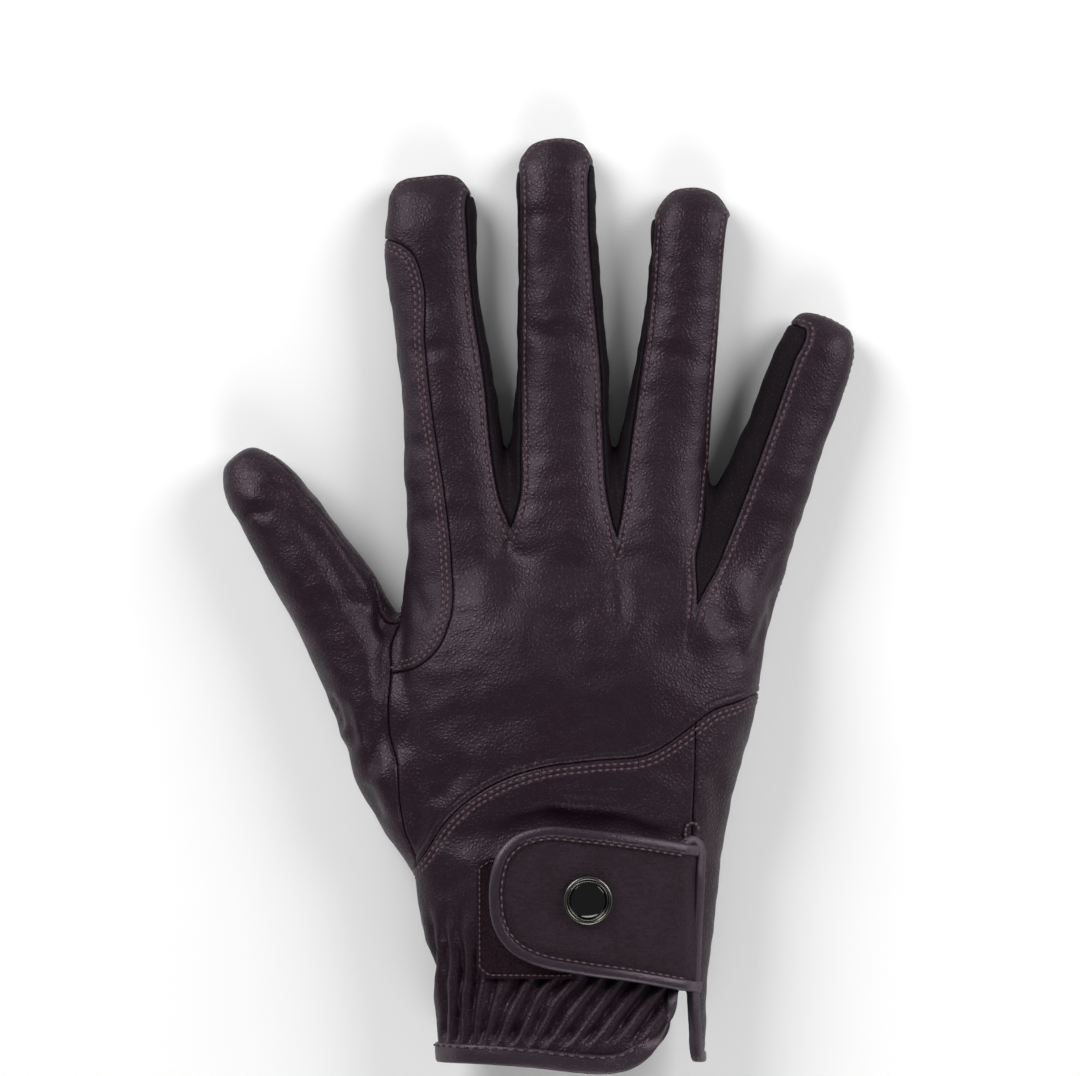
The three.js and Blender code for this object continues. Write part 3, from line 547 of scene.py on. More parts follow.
body_normals = normals_of(body_points, body_faces)
sink = pressed(body_points, body_normals, BACK_FOLDS + THUMB_FOLDS, 1)
sink += pressed(body_points, body_normals, PALM_FOLDS, -1)
broad = BROAD_UNEVENNESS * slow_noise(body_points, 17, 3.1)
small = SMALL_UNEVENNESS * slow_noise(body_points * (1, 1.5, 1), 6.5, 11.7)
print("deepest fold", round(float(sink.max()), 2), "mm")

# %% [markdown]
# ## The gathered cuff
# Elastic behind the leather draws it into pleats. On the back they stand upright at the thumb's
# side and lean over towards the strap; on the palm they are even. A pleat is a round ridge between
# two sharp valleys, so the height follows the absolute value of a sine.

# %% Pleats
PLEAT_ROWS = [
    {"at": -0.42, "pitch": 3.3, "lean": 0.0},
    {"at": -0.26, "pitch": 3.7, "lean": 0.05},
    {"at": -0.16, "pitch": 4.6, "lean": 0.35},
    {"at": -0.04, "pitch": 5.6, "lean": 0.7},
    {"at": 0.4, "pitch": 6.3, "lean": 0.8},
]
PALM_PITCH = 5.5
LEAN_FROM = -0.43
PLEAT_ROUND = 0.75
PLEAT_UNEVENNESS = 0.45
BACK_GATHER = {"from": -0.475, "full": -0.455, "fade": -0.375, "to": -0.315, "depth": 3.0}
PALM_GATHER = {"from": -0.47, "full": -0.455, "fade": -0.38, "to": -0.35, "depth": 2.4}


def gather_mask(y, zone):
    share = y / GLOVE_LENGTH
    rising = smooth_step(zone["from"], zone["full"], share)
    return rising * (1 - smooth_step(zone["fade"], zone["to"], share))


def pleats(points, normals):
    """How far the elastic draws each point in, below nought in the valleys."""
    x, y = points[:, 0], points[:, 1]
    at = np.array(column(PLEAT_ROWS, "at")) * PALM_WIDTH
    leaned = x - np.interp(x, at, column(PLEAT_ROWS, "lean")) * (y - LEAN_FROM * GLOVE_LENGTH)
    leaned += slow_noise(points, 9, 23.5)
    fine = np.linspace(-60, 60, 481)
    phase = np.cumsum(1 / np.interp(fine, at, column(PLEAT_ROWS, "pitch"))) * (fine[1] - fine[0])
    back = np.abs(np.sin(np.interp(leaned, fine, phase) * math.pi)) ** PLEAT_ROUND
    wandering = x + 0.9 * slow_noise(points, 8, 5.5)
    front = np.abs(np.sin(wandering / PALM_PITCH * math.pi)) ** PLEAT_ROUND
    uneven = 1 + PLEAT_UNEVENNESS * slow_noise(points, 5, 41.3)
    back = 1 - (1 - back) * uneven
    front = 1 - (1 - front) * uneven
    up = smooth_step(-0.35, 0.15, normals[:, 2])
    vent_clear = 1 - smooth_step(0.3, 0.36, x / PALM_WIDTH) * up
    upper = (back - 1) * gather_mask(y, BACK_GATHER) * BACK_GATHER["depth"] * up * vent_clear
    lower = (front - 1) * gather_mask(y, PALM_GATHER) * PALM_GATHER["depth"] * (1 - up)
    return upper + lower


raised = pleats(body_points, body_normals) - sink + (broad + small)
body_points = body_points + body_normals * raised[:, None]
FLOOR_SOFT = 0.35
body_points[:, 2] = (body_points[:, 2] + np.sqrt(body_points[:, 2] ** 2 + FLOOR_SOFT**2)) / 2
body_points = relaxed(body_points, body_faces, 1, 0.4)
body_normals = normals_of(body_points, body_faces)
print("cuff gathered, lowest point", round(float(body_points[:, 2].min()), 2), "mm")

# %% [markdown]
# ## Seam lines
# Seams are drawn on the skin as values: each value is the distance to one seam, positive on the
# panel's own side and negative beyond it. The skin is then cut exactly where a value passes zero.
# A line seen from above serves the back, another one the palm, and the two are mixed by height.

# %% Seam tables
THUMB_BACK_SEAM = [
    (-0.495, 0.3), (-0.5, 0.1), (-0.475, 0.02), (-0.446, -0.02), (-0.466, -0.042),
    (-0.472, -0.079), (-0.48, -0.116), (-0.476, -0.143), (-0.455, -0.17), (-0.449, -0.207),
    (-0.435, -0.243), (-0.405, -0.281), (-0.43, -0.3),
]
THUMB_PALM_SEAM = [
    (-0.495, 0.3), (-0.5, 0.1), (-0.475, 0.01), (-0.43, -0.03), (-0.33, -0.01),
    (-0.213, 0.007), (-0.169, -0.012), (-0.105, -0.034), (-0.05, -0.064), (0.006, -0.103),
    (0.028, -0.157), (0.014, -0.217), (-0.019, -0.252), (-0.103, -0.296), (-0.191, -0.32),
    (-0.285, -0.322), (-0.388, -0.311), (-0.46, -0.3),
]
SIDE_BACK_SEAM = [
    (-0.56, 0.385), (-0.488, 0.384), (-0.421, 0.372), (-0.385, 0.34), (-0.38, 0.276),
    (-0.36, 0.202), (-0.322, 0.106), (-0.305, 0.042), (-0.308, -0.019), (-0.346, -0.053),
    (-0.416, -0.073), (-0.471, -0.077), (-0.56, -0.08),
]
SIDE_PALM_SEAM = [
    (-0.56, 0.385), (-0.488, 0.384), (-0.396, 0.375), (-0.352, 0.355), (-0.31, 0.299),
    (-0.297, 0.224), (-0.28, 0.122), (-0.266, 0.051), (-0.213, 0.007), (-0.19, -0.03),
]
YOKE_SEAM = [
    (-0.56, -0.33), (-0.443, -0.3), (-0.38, -0.268), (-0.322, -0.235), (-0.241, -0.207),
    (-0.144, -0.187), (-0.05, -0.176), (0.094, -0.169), (0.244, -0.162), (0.327, -0.143),
    (0.371, -0.13),
]
YOKE_VENT_SIDE = [(0.37, -0.18), (0.36, -0.262), (0.34, -0.42)]
ULNAR_SEAM_END = [(0.421, -0.116), (0.485, -0.108), (0.6, -0.09)]
BACK_HEM = [
    (-0.6, -0.489), (-0.388, -0.489), (-0.233, -0.489), (-0.089, -0.492), (0.058, -0.498),
    (0.13, -0.499), (0.2, -0.493), (0.25, -0.478), (0.29, -0.453), (0.315, -0.428),
]
VENT_LEFT = [(0.323, -0.4), (0.343, -0.262), (0.35, -0.257)]
VENT_RIGHT = [(0.37, -0.257), (0.377, -0.262), (0.357, -0.42), (0.374, -0.489)]
TAIL_HEM = [(0.6, -0.489)]
PALM_HEM = [
    (-0.6, -0.489), (0.2, -0.489), (0.255, -0.478), (0.297, -0.447), (0.325, -0.417), (0.33, -0.413),
    (0.352, -0.413), (0.357, -0.42), (0.362, -0.45), (0.374, -0.489), (0.6, -0.489),
]
THUMB_SEAM_HEIGHT = 11
SIDE_SEAM_HEIGHT = 9
CUFF_SEAM_HEIGHT = 12
TIP_SEAM_HEIGHT = 7
ULNAR_SEAM_HEIGHT = 5.5
PALM_SEAM_RISE = 4.5
FINGER_SEAM_HEIGHT = 6
UNDER_SEAM = 0.42
FOURCHETTE_END = 0.93
WRIST_ROWS_FADE = (8, 11)
MIX = 3

# %% [markdown]
# A seam's distance is measured flat, from above, and then divided by the value's slope on the
# skin. Without that the rolled edges and the stitches would spread out on the fingers' sides. The
# wrist value cuts nothing: it carries two rows of stitches from the yoke round to the side, and
# falls away below so that they stop there.

# %% Seams as values
def inside_outline(outline, xy):
    inside = np.zeros(len(xy), bool)
    for (ax, ay), (bx, by) in zip(outline, np.roll(outline, -1, axis=0)):
        if ay == by:
            continue
        crosses = (ay > xy[:, 1]) != (by > xy[:, 1])
        inside ^= crosses & (xy[:, 0] < ax + (xy[:, 1] - ay) * (bx - ax) / (by - ay))
    return inside


def seam_value(line, corners, xy):
    """Distance to a seam, positive inside the outline that the seam makes with far corners."""
    outline = np.vstack([line, corners])
    gap, _ = nearest_on(line, xy)
    return np.where(inside_outline(outline, xy), gap, -gap)


def left_of(seam, xy):
    line = smooth_line(place(seam), 1.5)
    return seam_value(line, [(-FAR, line[-1][1]), (-FAR, line[0][1])], xy)


def by_height(z, middle, low_value, high_value):
    share = smooth_step(middle - MIX, middle + MIX, z)
    return low_value * (1 - share) + high_value * share


def finger_values(points):
    """Each point's place along and across every finger, and where that finger's seams are."""
    told = {}
    for name, finger in FINGERS.items():
        root, way, across, length = finger_line(finger)
        offset = points[:, :2] - root
        along = (offset @ way) / length
        told[name] = {
            "along": along, "across": offset @ across, "length": length, "width": finger["width"],
        }
        for side in ("seam_left", "seam_right"):
            top = smooth_between(SEAM_ALONG, finger[side], along) * finger["width"]
            under = np.maximum(top, UNDER_SEAM * finger["width"])
            told[name][side] = by_height(points[:, 2], FINGER_SEAM_HEIGHT, under, top)
    return told


def thumb_split_height(xy):
    """Height of the seam round the thumb, which climbs where the thumb faces the index finger."""
    _, along = nearest_on(thumb_line, xy)
    right = seam_value(thumb_line, [(FAR, thumb_line[-1][1]), (FAR, thumb_line[0][1])], xy)
    inner = smooth_step(-0.2, 0.9, right / (THUMB_WIDTH / 2))
    height = THUMB_SEAM_HEIGHT - 1 + 6 * inner * smooth_step(0.3, 0.6, along)
    return height * (1 - 0.35 * smooth_step(0.85, 1, along))


def seam_values(points):
    xy, z = points[:, :2], points[:, 2]
    values = {}
    palm_side, back_side = left_of(THUMB_PALM_SEAM, xy), left_of(THUMB_BACK_SEAM, xy)
    values["thumb"] = by_height(z, THUMB_SEAM_HEIGHT, palm_side, back_side)
    values["thumb_split"] = z - thumb_split_height(xy)
    yoke = smooth_line(place(YOKE_SEAM), 1.5)
    down = even_steps(np.vstack([yoke[-1:], place(YOKE_VENT_SIDE)]), 1.5)[1:]
    yoke_edge = np.vstack([yoke, down, [(down[-1][0], -FAR)]])
    above_yoke = seam_value(yoke_edge, [(-FAR, -FAR), (-FAR, yoke[0][1])], xy)
    values["yoke"] = np.minimum(above_yoke, z - CUFF_SEAM_HEIGHT)
    palm_side, back_side = left_of(SIDE_PALM_SEAM, xy), left_of(SIDE_BACK_SEAM, xy)
    values["side"] = by_height(z, SIDE_SEAM_HEIGHT, palm_side, back_side)
    fingers = finger_values(points)
    names = list(FINGERS)
    for left, right in zip(names[:-1], names[1:]):
        a, b = fingers[left], fingers[right]
        between = np.minimum(a["across"] - a["seam_right"], -b["seam_left"] - b["across"])
        nearer = np.abs(a["across"]) / a["width"] < np.abs(b["across"]) / b["width"]
        ends = [(FOURCHETTE_END - side["along"]) * side["length"] for side in (a, b)]
        values[f"{left}_{right}"] = np.minimum(between, np.where(nearer, *ends))
    ulnar = smooth_line(np.vstack([yoke[-1:], place(ULNAR_SEAM_END)]), 1.5)
    back_line = np.vstack([yoke, ulnar[1:]])
    start, end = back_line[0][1], back_line[-1][1]
    wrist = seam_value(back_line, [(FAR, end), (FAR, FAR), (-FAR, FAR), (-FAR, start)], xy)
    side = smooth_step(0.3, 0.5, xy[:, 0] / PALM_WIDTH)
    height = TIP_SEAM_HEIGHT + (ULNAR_SEAM_HEIGHT - TIP_SEAM_HEIGHT) * side
    height += PALM_SEAM_RISE * side * smooth_step(0.05, -0.02, xy[:, 1] / GLOVE_LENGTH)
    values["back"] = np.minimum(wrist, z - height)
    values["wrist"] = wrist - FAR * (1 - smooth_step(*WRIST_ROWS_FADE, z))
    palm_hem, tail = place(PALM_HEM), place(VENT_LEFT[1:] + VENT_RIGHT + TAIL_HEM)
    end = palm_hem[0][1]
    far_up = [(FAR, end), (FAR, FAR), (-FAR, FAR), (-FAR, end)]
    back_hem = np.vstack([smooth_line(place(BACK_HEM + VENT_LEFT[:1]), 1.5), tail])
    under, top = (seam_value(line, far_up, xy) for line in (palm_hem, even_steps(back_hem, 1.0)))
    values["hem"] = by_height(z, CUFF_SEAM_HEIGHT, under, top)
    return values


def true_distances(points, faces, value):
    """Turns a value into distance along the skin by dividing it by its slope on the skin."""
    a, b, c = (points[faces[:, k]] for k in range(3))
    va, vb, vc = (value[faces[:, k]] for k in range(3))
    cross = np.cross(b - a, c - a)
    area = np.maximum(np.linalg.norm(cross, axis=1), 1e-9)
    normal = cross / area[:, None]
    slope = np.cross(normal, c - b) * va[:, None] + np.cross(normal, a - c) * vb[:, None]
    slope += np.cross(normal, b - a) * vc[:, None]
    steep = np.linalg.norm(slope, axis=1) / area
    total = sum(np.bincount(faces[:, k], steep * area, len(points)) for k in range(3))
    weight = sum(np.bincount(faces[:, k], area, len(points)) for k in range(3))
    return value / np.clip(total / weight, 0.3, 2.5)


seams = seam_values(body_points)
seams = {name: true_distances(body_points, body_faces, value) for name, value in seams.items()}
print("seams drawn:", ", ".join(seams))

# %% [markdown]
# ## Cutting the panels
# A skin holds points, triangles and, for each point, its normal and its distances to the seams.
# Splitting it at a value adds points where edges cross that value, so the cut is as clean as the
# line itself. Knife cuts on screen could do this once, but not again when a table changes.

# %% Skins and cuts
class Skin:
    def __init__(self, points, faces, normals, seams):
        self.points, self.faces, self.normals, self.seams = points, faces, normals, seams

    def only(self, keep):
        faces = self.faces[keep]
        used, corners = np.unique(faces, return_inverse=True)
        seams = {name: value[used] for name, value in self.seams.items()}
        return Skin(self.points[used], corners.reshape(-1, 3), self.normals[used], seams)

    def split(self, name, level):
        """Adds points and triangles where the skin's edges cross a level of one seam's value."""
        value = self.seams[name] - level
        over = value > 0
        corners = over[self.faces]
        count = corners.sum(axis=1)
        crossed = (count == 1) | (count == 2)
        if not crossed.any():
            return self
        cut, states = self.faces[crossed], corners[crossed]
        lone = np.where(states.sum(1) == 1, states.argmax(1), (~states).argmax(1))
        rows = np.arange(len(cut))
        a, b, c = cut[rows, lone], cut[rows, (lone + 1) % 3], cut[rows, (lone + 2) % 3]
        edges = np.sort(np.vstack([np.stack([a, b], 1), np.stack([a, c], 1)]), axis=1)
        edges, which = np.unique(edges, axis=0, return_inverse=True)
        i, j = edges.T
        share = np.clip(value[i] / (value[i] - value[j]), 0.05, 0.95)

        def between(values):
            weight = share.reshape((-1,) + (1,) * (values.ndim - 1))
            return np.concatenate([values, values[i] * (1 - weight) + values[j] * weight])

        seams = {key: between(values) for key, values in self.seams.items()}
        seams[name][len(self.points):] = level
        which = which.ravel() + len(self.points)
        ab, ac = which[: len(cut)], which[len(cut):]
        pieces = [np.stack([a, ab, ac], 1), np.stack([ab, b, c], 1), np.stack([ab, c, ac], 1)]
        faces = np.vstack([self.faces[~crossed]] + pieces)
        return Skin(between(self.points), faces, between(self.normals), seams)

    def cut(self, name):
        """The two skins on the panel's side of a seam and beyond it."""
        skin = self.split(name, 0.0)
        inside = skin.seams[name][skin.faces].mean(axis=1) > 0
        return skin.only(inside), skin.only(~inside)

    def edges(self):
        return np.vstack([self.faces[:, [0, 1]], self.faces[:, [1, 2]], self.faces[:, [2, 0]]])

    def open_edges(self):
        edges = self.edges()
        ends = np.sort(edges, axis=1)
        _, first, count = np.unique(ends, axis=0, return_index=True, return_counts=True)
        return edges[first[count == 1]]

    def largest(self):
        """Drops the slivers that a cut leaves beside a panel."""
        label = np.arange(len(self.points))
        for _ in range(2000):
            low = label[self.faces].min(axis=1)
            new = label.copy()
            for k in range(3):
                np.minimum.at(new, self.faces[:, k], low)
            new = new[new]
            if (new == label).all():
                break
            label = new
        groups, sizes = np.unique(label[self.faces[:, 0]], return_counts=True)
        return self.only(label[self.faces[:, 0]] == groups[sizes.argmax()])


whole = Skin(body_points, body_faces, body_normals, seams)
whole, _ = whole.cut("hem")
whole = whole.largest()
panels = {}
thumb, rest = whole.cut("thumb")
panels["thumb_back"], panels["thumb_front"] = thumb.cut("thumb_split")
for name, seam in [
    ("cuff_yoke", "yoke"), ("index_side_panel", "side"),
    ("fourchette_index_middle", "index_middle"), ("fourchette_middle_ring", "middle_ring"),
    ("fourchette_ring_little", "ring_little"), ("back_panel", "back"),
]:
    panels[name], rest = rest.cut(seam)
panels["palm_panel"] = rest
panels = {name: panel.largest() for name, panel in panels.items()}
for name, panel in panels.items():
    print(f"{name}: {len(panel.faces)} triangles")

# %% [markdown]
# ## Rolled edges and thickness
# Where two panels are sewn, both edges turn down into the seam. Rows of points are added beside
# each seam and lowered along a quarter round, which gives the dark crisp line of a real seam. The
# flesh side is the same skin a leather's thickness further in, and a rim joins the two.

# %% Rolled edges
ROLL_WIDTH = 0.9
ROLL_DEPTH = 0.85
ROLL_ROWS = [0.08, 0.3, 0.9]
STITCH_CHANNEL = {"depth": 0.16, "width": 0.45}
SHORTEST_CHAIN = 8
TOP_STITCH = 1.9
PAIR_STITCHES = (1.3, 2.6)
SEAMS_OF = {
    "thumb_back": ["thumb", "thumb_split"],
    "thumb_front": ["thumb", "thumb_split"],
    "cuff_yoke": ["yoke"],
    "index_side_panel": ["side", "thumb", "index_middle"],
    "fourchette_index_middle": ["index_middle"],
    "fourchette_middle_ring": ["middle_ring"],
    "fourchette_ring_little": ["ring_little"],
    "back_panel": ["back", "side", "thumb", "yoke", "index_middle", "middle_ring", "ring_little"],
    "palm_panel": ["back", "side", "thumb", "yoke", "index_middle", "middle_ring", "ring_little"],
}
STITCH_ROWS = {
    "back_panel": {"edge": [TOP_STITCH]},
    "cuff_yoke": {"wrist": PAIR_STITCHES},
    "index_side_panel": {"side": PAIR_STITCHES},
    "palm_panel": {"thumb": PAIR_STITCHES, "wrist": PAIR_STITCHES},
}
BACK_STITCHED = ["back", "index_middle", "middle_ring", "ring_little"]


def add_edge_value(name, panel):
    """One value for all the seams round a panel: the distance to the nearest."""
    if name == "back_panel":
        seams = BACK_STITCHED
    else:
        seams = SEAMS_OF[name]
    panel.seams["edge"] = np.min([np.abs(panel.seams[seam]) for seam in seams], axis=0)
    panel.seams["rim"] = np.min([np.abs(panel.seams[seam]) for seam in SEAMS_OF[name]], axis=0)


def lined(panel, name, level):
    """Splits a panel along a level and returns it with the ordered lines that the level makes."""
    if panel.seams[name].min() < 0 and name != "edge":
        panel = panel.split(name, -level)
        level = -level
    else:
        panel = panel.split(name, level)
    on = panel.seams[name] == level
    edges = panel.edges()
    edges = edges[on[edges].all(axis=1)]
    return panel, chained(np.unique(np.sort(edges, axis=1), axis=0))


def chained(edges):
    """Orders loose edges into lines, those with an open end first."""
    links = {}
    for a, b in edges.tolist():
        links.setdefault(a, []).append(b)
        links.setdefault(b, []).append(a)
    lines, seen = [], set()
    for start in sorted(links, key=lambda point: (len(links[point]) != 1, point)):
        if start in seen:
            continue
        line = [start]
        seen.add(start)
        while True:
            ahead = [point for point in links[line[-1]] if point not in seen]
            if not ahead:
                break
            line.append(ahead[0])
            seen.add(ahead[0])
        if len(line) > SHORTEST_CHAIN:
            lines.append(line)
    return lines

# %% [markdown]
# Each panel is split at the levels of its roll and of its rows of stitches. A row lies in a
# shallow channel, because thread pulls leather in.

# %% Rows beside the seams
stitch_lines = {}
for name, panel in panels.items():
    add_edge_value(name, panel)
    for level in ROLL_ROWS:
        panel = panel.split("rim", level)
    rows = []
    for seam, levels in STITCH_ROWS.get(name, {}).items():
        for level in levels:
            for side in (-STITCH_CHANNEL["width"], STITCH_CHANNEL["width"]):
                sign = -1 if seam != "edge" and panel.seams[seam].min() < 0 else 1
                panel = panel.split(seam, sign * (level + side))
            panel, lines = lined(panel, seam, level)
            rows.append([np.hstack([panel.points[line], panel.normals[line]]) for line in lines])
    gap = np.clip(panel.seams["rim"] / ROLL_WIDTH, 0, 1)
    drop = ROLL_DEPTH * (1 - np.sqrt(np.clip(1 - (1 - gap) ** 2, 0, 1)))
    for seam, levels in STITCH_ROWS.get(name, {}).items():
        for level in levels:
            away = (np.abs(panel.seams[seam]) - level) / STITCH_CHANNEL["width"]
            drop += STITCH_CHANNEL["depth"] * np.clip(1 - away**2, 0, 1)
    panel.outer = panel.points - panel.normals * drop[:, None]
    panel.outer[:, 2] = np.maximum(panel.outer[:, 2], 0.02)
    stitch_lines[name] = rows
    panels[name] = panel
    print(f"{name}: {sum(len(row) for row in rows)} stitch lines")

# %% [markdown]
# The flesh side is the same skin moved in by the leather's thickness. A rim joins the two.

# %% Walls
def walled(panel):
    """Points and triangles of a panel with its flesh side and rim, and which faces are inside."""
    inner = panel.points - panel.normals * LEATHER
    inner[:, 2] = np.maximum(inner[:, 2], INSIDE_CLEAR)
    count = len(panel.points)
    edges = panel.open_edges()
    a, b = edges.T
    rim = np.vstack([np.stack([b, a, a + count], 1), np.stack([b, a + count, b + count], 1)])
    faces = np.vstack([panel.faces, panel.faces[:, ::-1] + count, rim])
    flesh = np.concatenate([np.zeros(len(panel.faces)), np.ones(len(panel.faces) + len(rim))])
    return np.vstack([panel.outer, inner]), faces, flesh.astype(int)

# %% [markdown]
# ## Finishes
# Shader sums are written as plain expressions: a small class wraps a socket, and each operator
# adds its Math node. One method adds any other node. Patterns use Object coordinates, which are
# the glove's own millimetres here, so no piece needs an unwrapped map.

# %% Shader tools
class Value:
    """A socket's output that takes part in sums: each operator adds its Math node."""

    def __init__(self, finish, socket):
        self.finish, self.socket = finish, socket

    def maths(self, operation, a, b):
        return self.finish.add("ShaderNodeMath", {"operation": operation}, {0: a, 1: b})

    def __add__(self, other):
        return self.maths("ADD", self, other)

    def __radd__(self, other):
        return self.maths("ADD", other, self)

    def __sub__(self, other):
        return self.maths("SUBTRACT", self, other)

    def __rsub__(self, other):
        return self.maths("SUBTRACT", other, self)

    def __mul__(self, other):
        return self.maths("MULTIPLY", self, other)

    def __rmul__(self, other):
        return self.maths("MULTIPLY", other, self)


class Finish:
    """A material with one shader, and the few node patterns that the glove's finishes share."""

    def __init__(self, name):
        self.material = bpy.data.materials.new(name)
        self.material.use_nodes = True
        self.tree = self.material.node_tree
        self.tree.nodes.clear()
        self.shader = self.tree.nodes.new("ShaderNodeBsdfPrincipled")
        output = self.tree.nodes.new("ShaderNodeOutputMaterial")
        self.tree.links.new(self.shader.outputs[0], output.inputs[0])
        metres = self.add("ShaderNodeTexCoord", {}, {}, "Object")
        self.place = self.scaled(metres, (1 / METRES,) * 3)

    def add(self, kind, settings, inputs, output=0):
        node = self.tree.nodes.new(kind)
        for key, value in settings.items():
            setattr(node, key, value)
        for key, value in inputs.items():
            self.feed(node.inputs[key], value)
        return Value(self, node.outputs[output])

    def feed(self, socket, value):
        if isinstance(value, Value):
            self.tree.links.new(value.socket, socket)
        else:
            socket.default_value = value

    def scaled(self, vector, scale):
        return self.add("ShaderNodeVectorMath", {"operation": "MULTIPLY"}, {0: vector, 1: scale})

    def set(self, **inputs):
        for key, value in inputs.items():
            self.feed(self.shader.inputs[key.replace("_", " ")], value)

    def ramp(self, value, low, high):
        return self.add(
            "ShaderNodeMapRange", {"interpolation_type": "SMOOTHSTEP"},
            {"Value": value, "From Min": low, "From Max": high},
        )

    def noise(self, scale, detail=2.0, stretch=(1, 1, 1), roughness=0.5):
        vector = self.scaled(self.place, stretch)
        inputs = {"Vector": vector, "Scale": scale, "Detail": detail, "Roughness": roughness}
        return self.add("ShaderNodeTexNoise", {}, inputs)

    def mixed(self, share, a, b):
        node = self.tree.nodes.new("ShaderNodeMix")
        node.data_type = "RGBA"
        self.feed(node.inputs["Factor"], share)
        self.feed(node.inputs[6], a)
        self.feed(node.inputs[7], b)
        return Value(self, node.outputs[2])

    def bump(self, height, depth):
        """Turns a height of 0 to 1 into a surface that is that many millimetres deep."""
        inputs = {"Height": height, "Strength": 1.0, "Distance": depth * METRES}
        return self.add("ShaderNodeBump", {}, inputs)


def srgb(red, green, blue):
    """A screen colour of 0 to 255 as the linear colour that a shader takes."""
    levels = [level / 255 for level in (red, green, blue)]
    linear = [
        level / 12.92 if level <= 0.04045 else ((level + 0.055) / 1.055) ** 2.4 for level in levels
    ]
    return (*linear, 1)


def times(colour, share):
    """A lighter or darker tone of a linear colour."""
    return tuple(min(channel * share, 1) for channel in colour[:3]) + (1,)

# %% [markdown]
# Glove leather is fine: small pebbles between furrows, drawn out by soft creases. A Voronoi
# pattern's distance to its edges gives pebbles, and a noise that bends its place keeps them from
# looking like tiles. The same height paints shade into the furrows and feeds the bump.

# %% Leather
SHEEN_TINT = (1.0, 0.8, 0.94, 1)


def leather(name, colour, worn, rough=0.5, grain=1.0, depth=0.075, creases=0.8, shine=0.29):
    """Grain leather: pebbles between fine furrows, soft creases across, worn lighter in patches."""
    finish = Finish(name)
    around = {"Vector": finish.place, "Scale": 0.9, "Detail": 1.0}
    warp = finish.add("ShaderNodeTexNoise", {}, around, "Color")
    bent = finish.add(
        "ShaderNodeVectorMath", {"operation": "MULTIPLY_ADD"},
        {0: warp, 1: (0.7, 0.7, 0.7), 2: finish.place},
    )
    edge = finish.add(
        "ShaderNodeTexVoronoi", {"feature": "DISTANCE_TO_EDGE"},
        {"Vector": bent, "Scale": grain, "Randomness": 1.0},
    )
    pebble = finish.ramp(edge, 0.0, 0.42)
    fine = finish.noise(3.4, 2.0)
    lines = finish.noise(0.85, 3.0, (0.35, 1.6, 1.0), 0.6)
    patches = finish.noise(0.045, 2.0)
    tone = finish.ramp(patches, 0.3, 0.7)
    height = pebble * 0.8 + fine * 0.05 + lines * creases
    base = finish.mixed(tone, colour, worn)
    finish.set(
        # The furrows take a darker copy of the colour: painted shade in the grain's hollows.
        Base_Color=finish.mixed(1 - (1 - pebble) * 0.75, times(colour, 0.45), base),
        Roughness=rough + 0.14 * (1 - pebble) + (0.5 - tone) * 0.08,
        Normal=finish.bump(height, depth),
    )
    finish.shader.inputs["Specular IOR Level"].default_value = shine
    finish.shader.inputs["Specular Tint"].default_value = SHEEN_TINT
    return finish.material

# %% [markdown]
# The flesh side, the strap and the tape are soft and dull, so they are mottled noises with a
# rough surface. Thread is the one finish with a direction, the slanting twist of its plies.

# %% Soft finishes
def flesh(name, colour):
    """The suede inside of the leather: no grain, short nap."""
    finish = Finish(name)
    nap = finish.noise(4.5, 3.0)
    shade = finish.noise(0.2, 2.0)
    mottle = finish.ramp(nap * 0.6 + shade * 0.4, 0.35, 0.65)
    finish.set(
        Base_Color=finish.mixed(mottle, colour, times(colour, 1.5)),
        Roughness=0.85 + nap * 0.1, Normal=finish.bump(nap, 0.12),
    )
    finish.shader.inputs["Sheen Weight"].default_value = 0.25
    return finish.material


def suede(name, colour):
    """Suede: a short nap that lies in streaks and patches."""
    finish = Finish(name)
    nap = finish.noise(5.0, 3.0, roughness=0.65)
    grain = finish.noise(1.1, 3.0, (1, 1, 1), 0.7)
    shade = finish.noise(0.12, 2.0)
    streak = finish.noise(0.7, 3.0, (0.5, 2.5, 1), 0.7)
    mottle = nap * 0.2 + grain * 0.3 + shade * 0.2 + streak * 0.3
    finish.set(
        Base_Color=finish.mixed(finish.ramp(mottle, 0.43, 0.57), colour, times(colour, 2.3)),
        Roughness=0.6 + nap * 0.15, Normal=finish.bump(nap * 0.4 + grain + streak * 0.6, 0.55),
    )
    finish.shader.inputs["Specular IOR Level"].default_value = 0.2
    return finish.material


def hook_and_loop(name, colour):
    """Fastening tape: small tufts in loose rows, with fuzz between them."""
    finish = Finish(name)
    rows = finish.add(
        "ShaderNodeTexVoronoi", {"feature": "F1"},
        {"Vector": finish.place, "Scale": 1.5, "Randomness": 0.7},
    )
    fuzz = finish.noise(3.0, 4.0, roughness=0.7)
    tufts = finish.ramp(rows * 0.6 + fuzz * 0.5, 0.3, 0.8)
    finish.set(
        Base_Color=finish.mixed(tufts, colour, times(colour, 2.4)),
        Roughness=0.9, Normal=finish.bump(rows + fuzz, 0.5),
    )
    finish.shader.inputs["Specular IOR Level"].default_value = 0.12
    return finish.material


def thread(name, colour):
    """Sewing thread: slanting bands of twist."""
    finish = Finish(name)
    twist = finish.add(
        "ShaderNodeTexWave", {"wave_type": "BANDS", "bands_direction": "DIAGONAL"},
        {"Vector": finish.place, "Scale": 1.3, "Distortion": 0.4}, "Fac",
    )
    wear = finish.noise(0.5, 2.0)
    finish.set(
        Base_Color=finish.mixed(wear, colour, times(colour, 1.6)), Roughness=0.6 + twist * 0.1,
        Normal=finish.bump(twist, 0.06),
    )
    return finish.material

# %% [markdown]
# The stud's ring is turned metal with faint marks. Its dome is black under a clear coat.

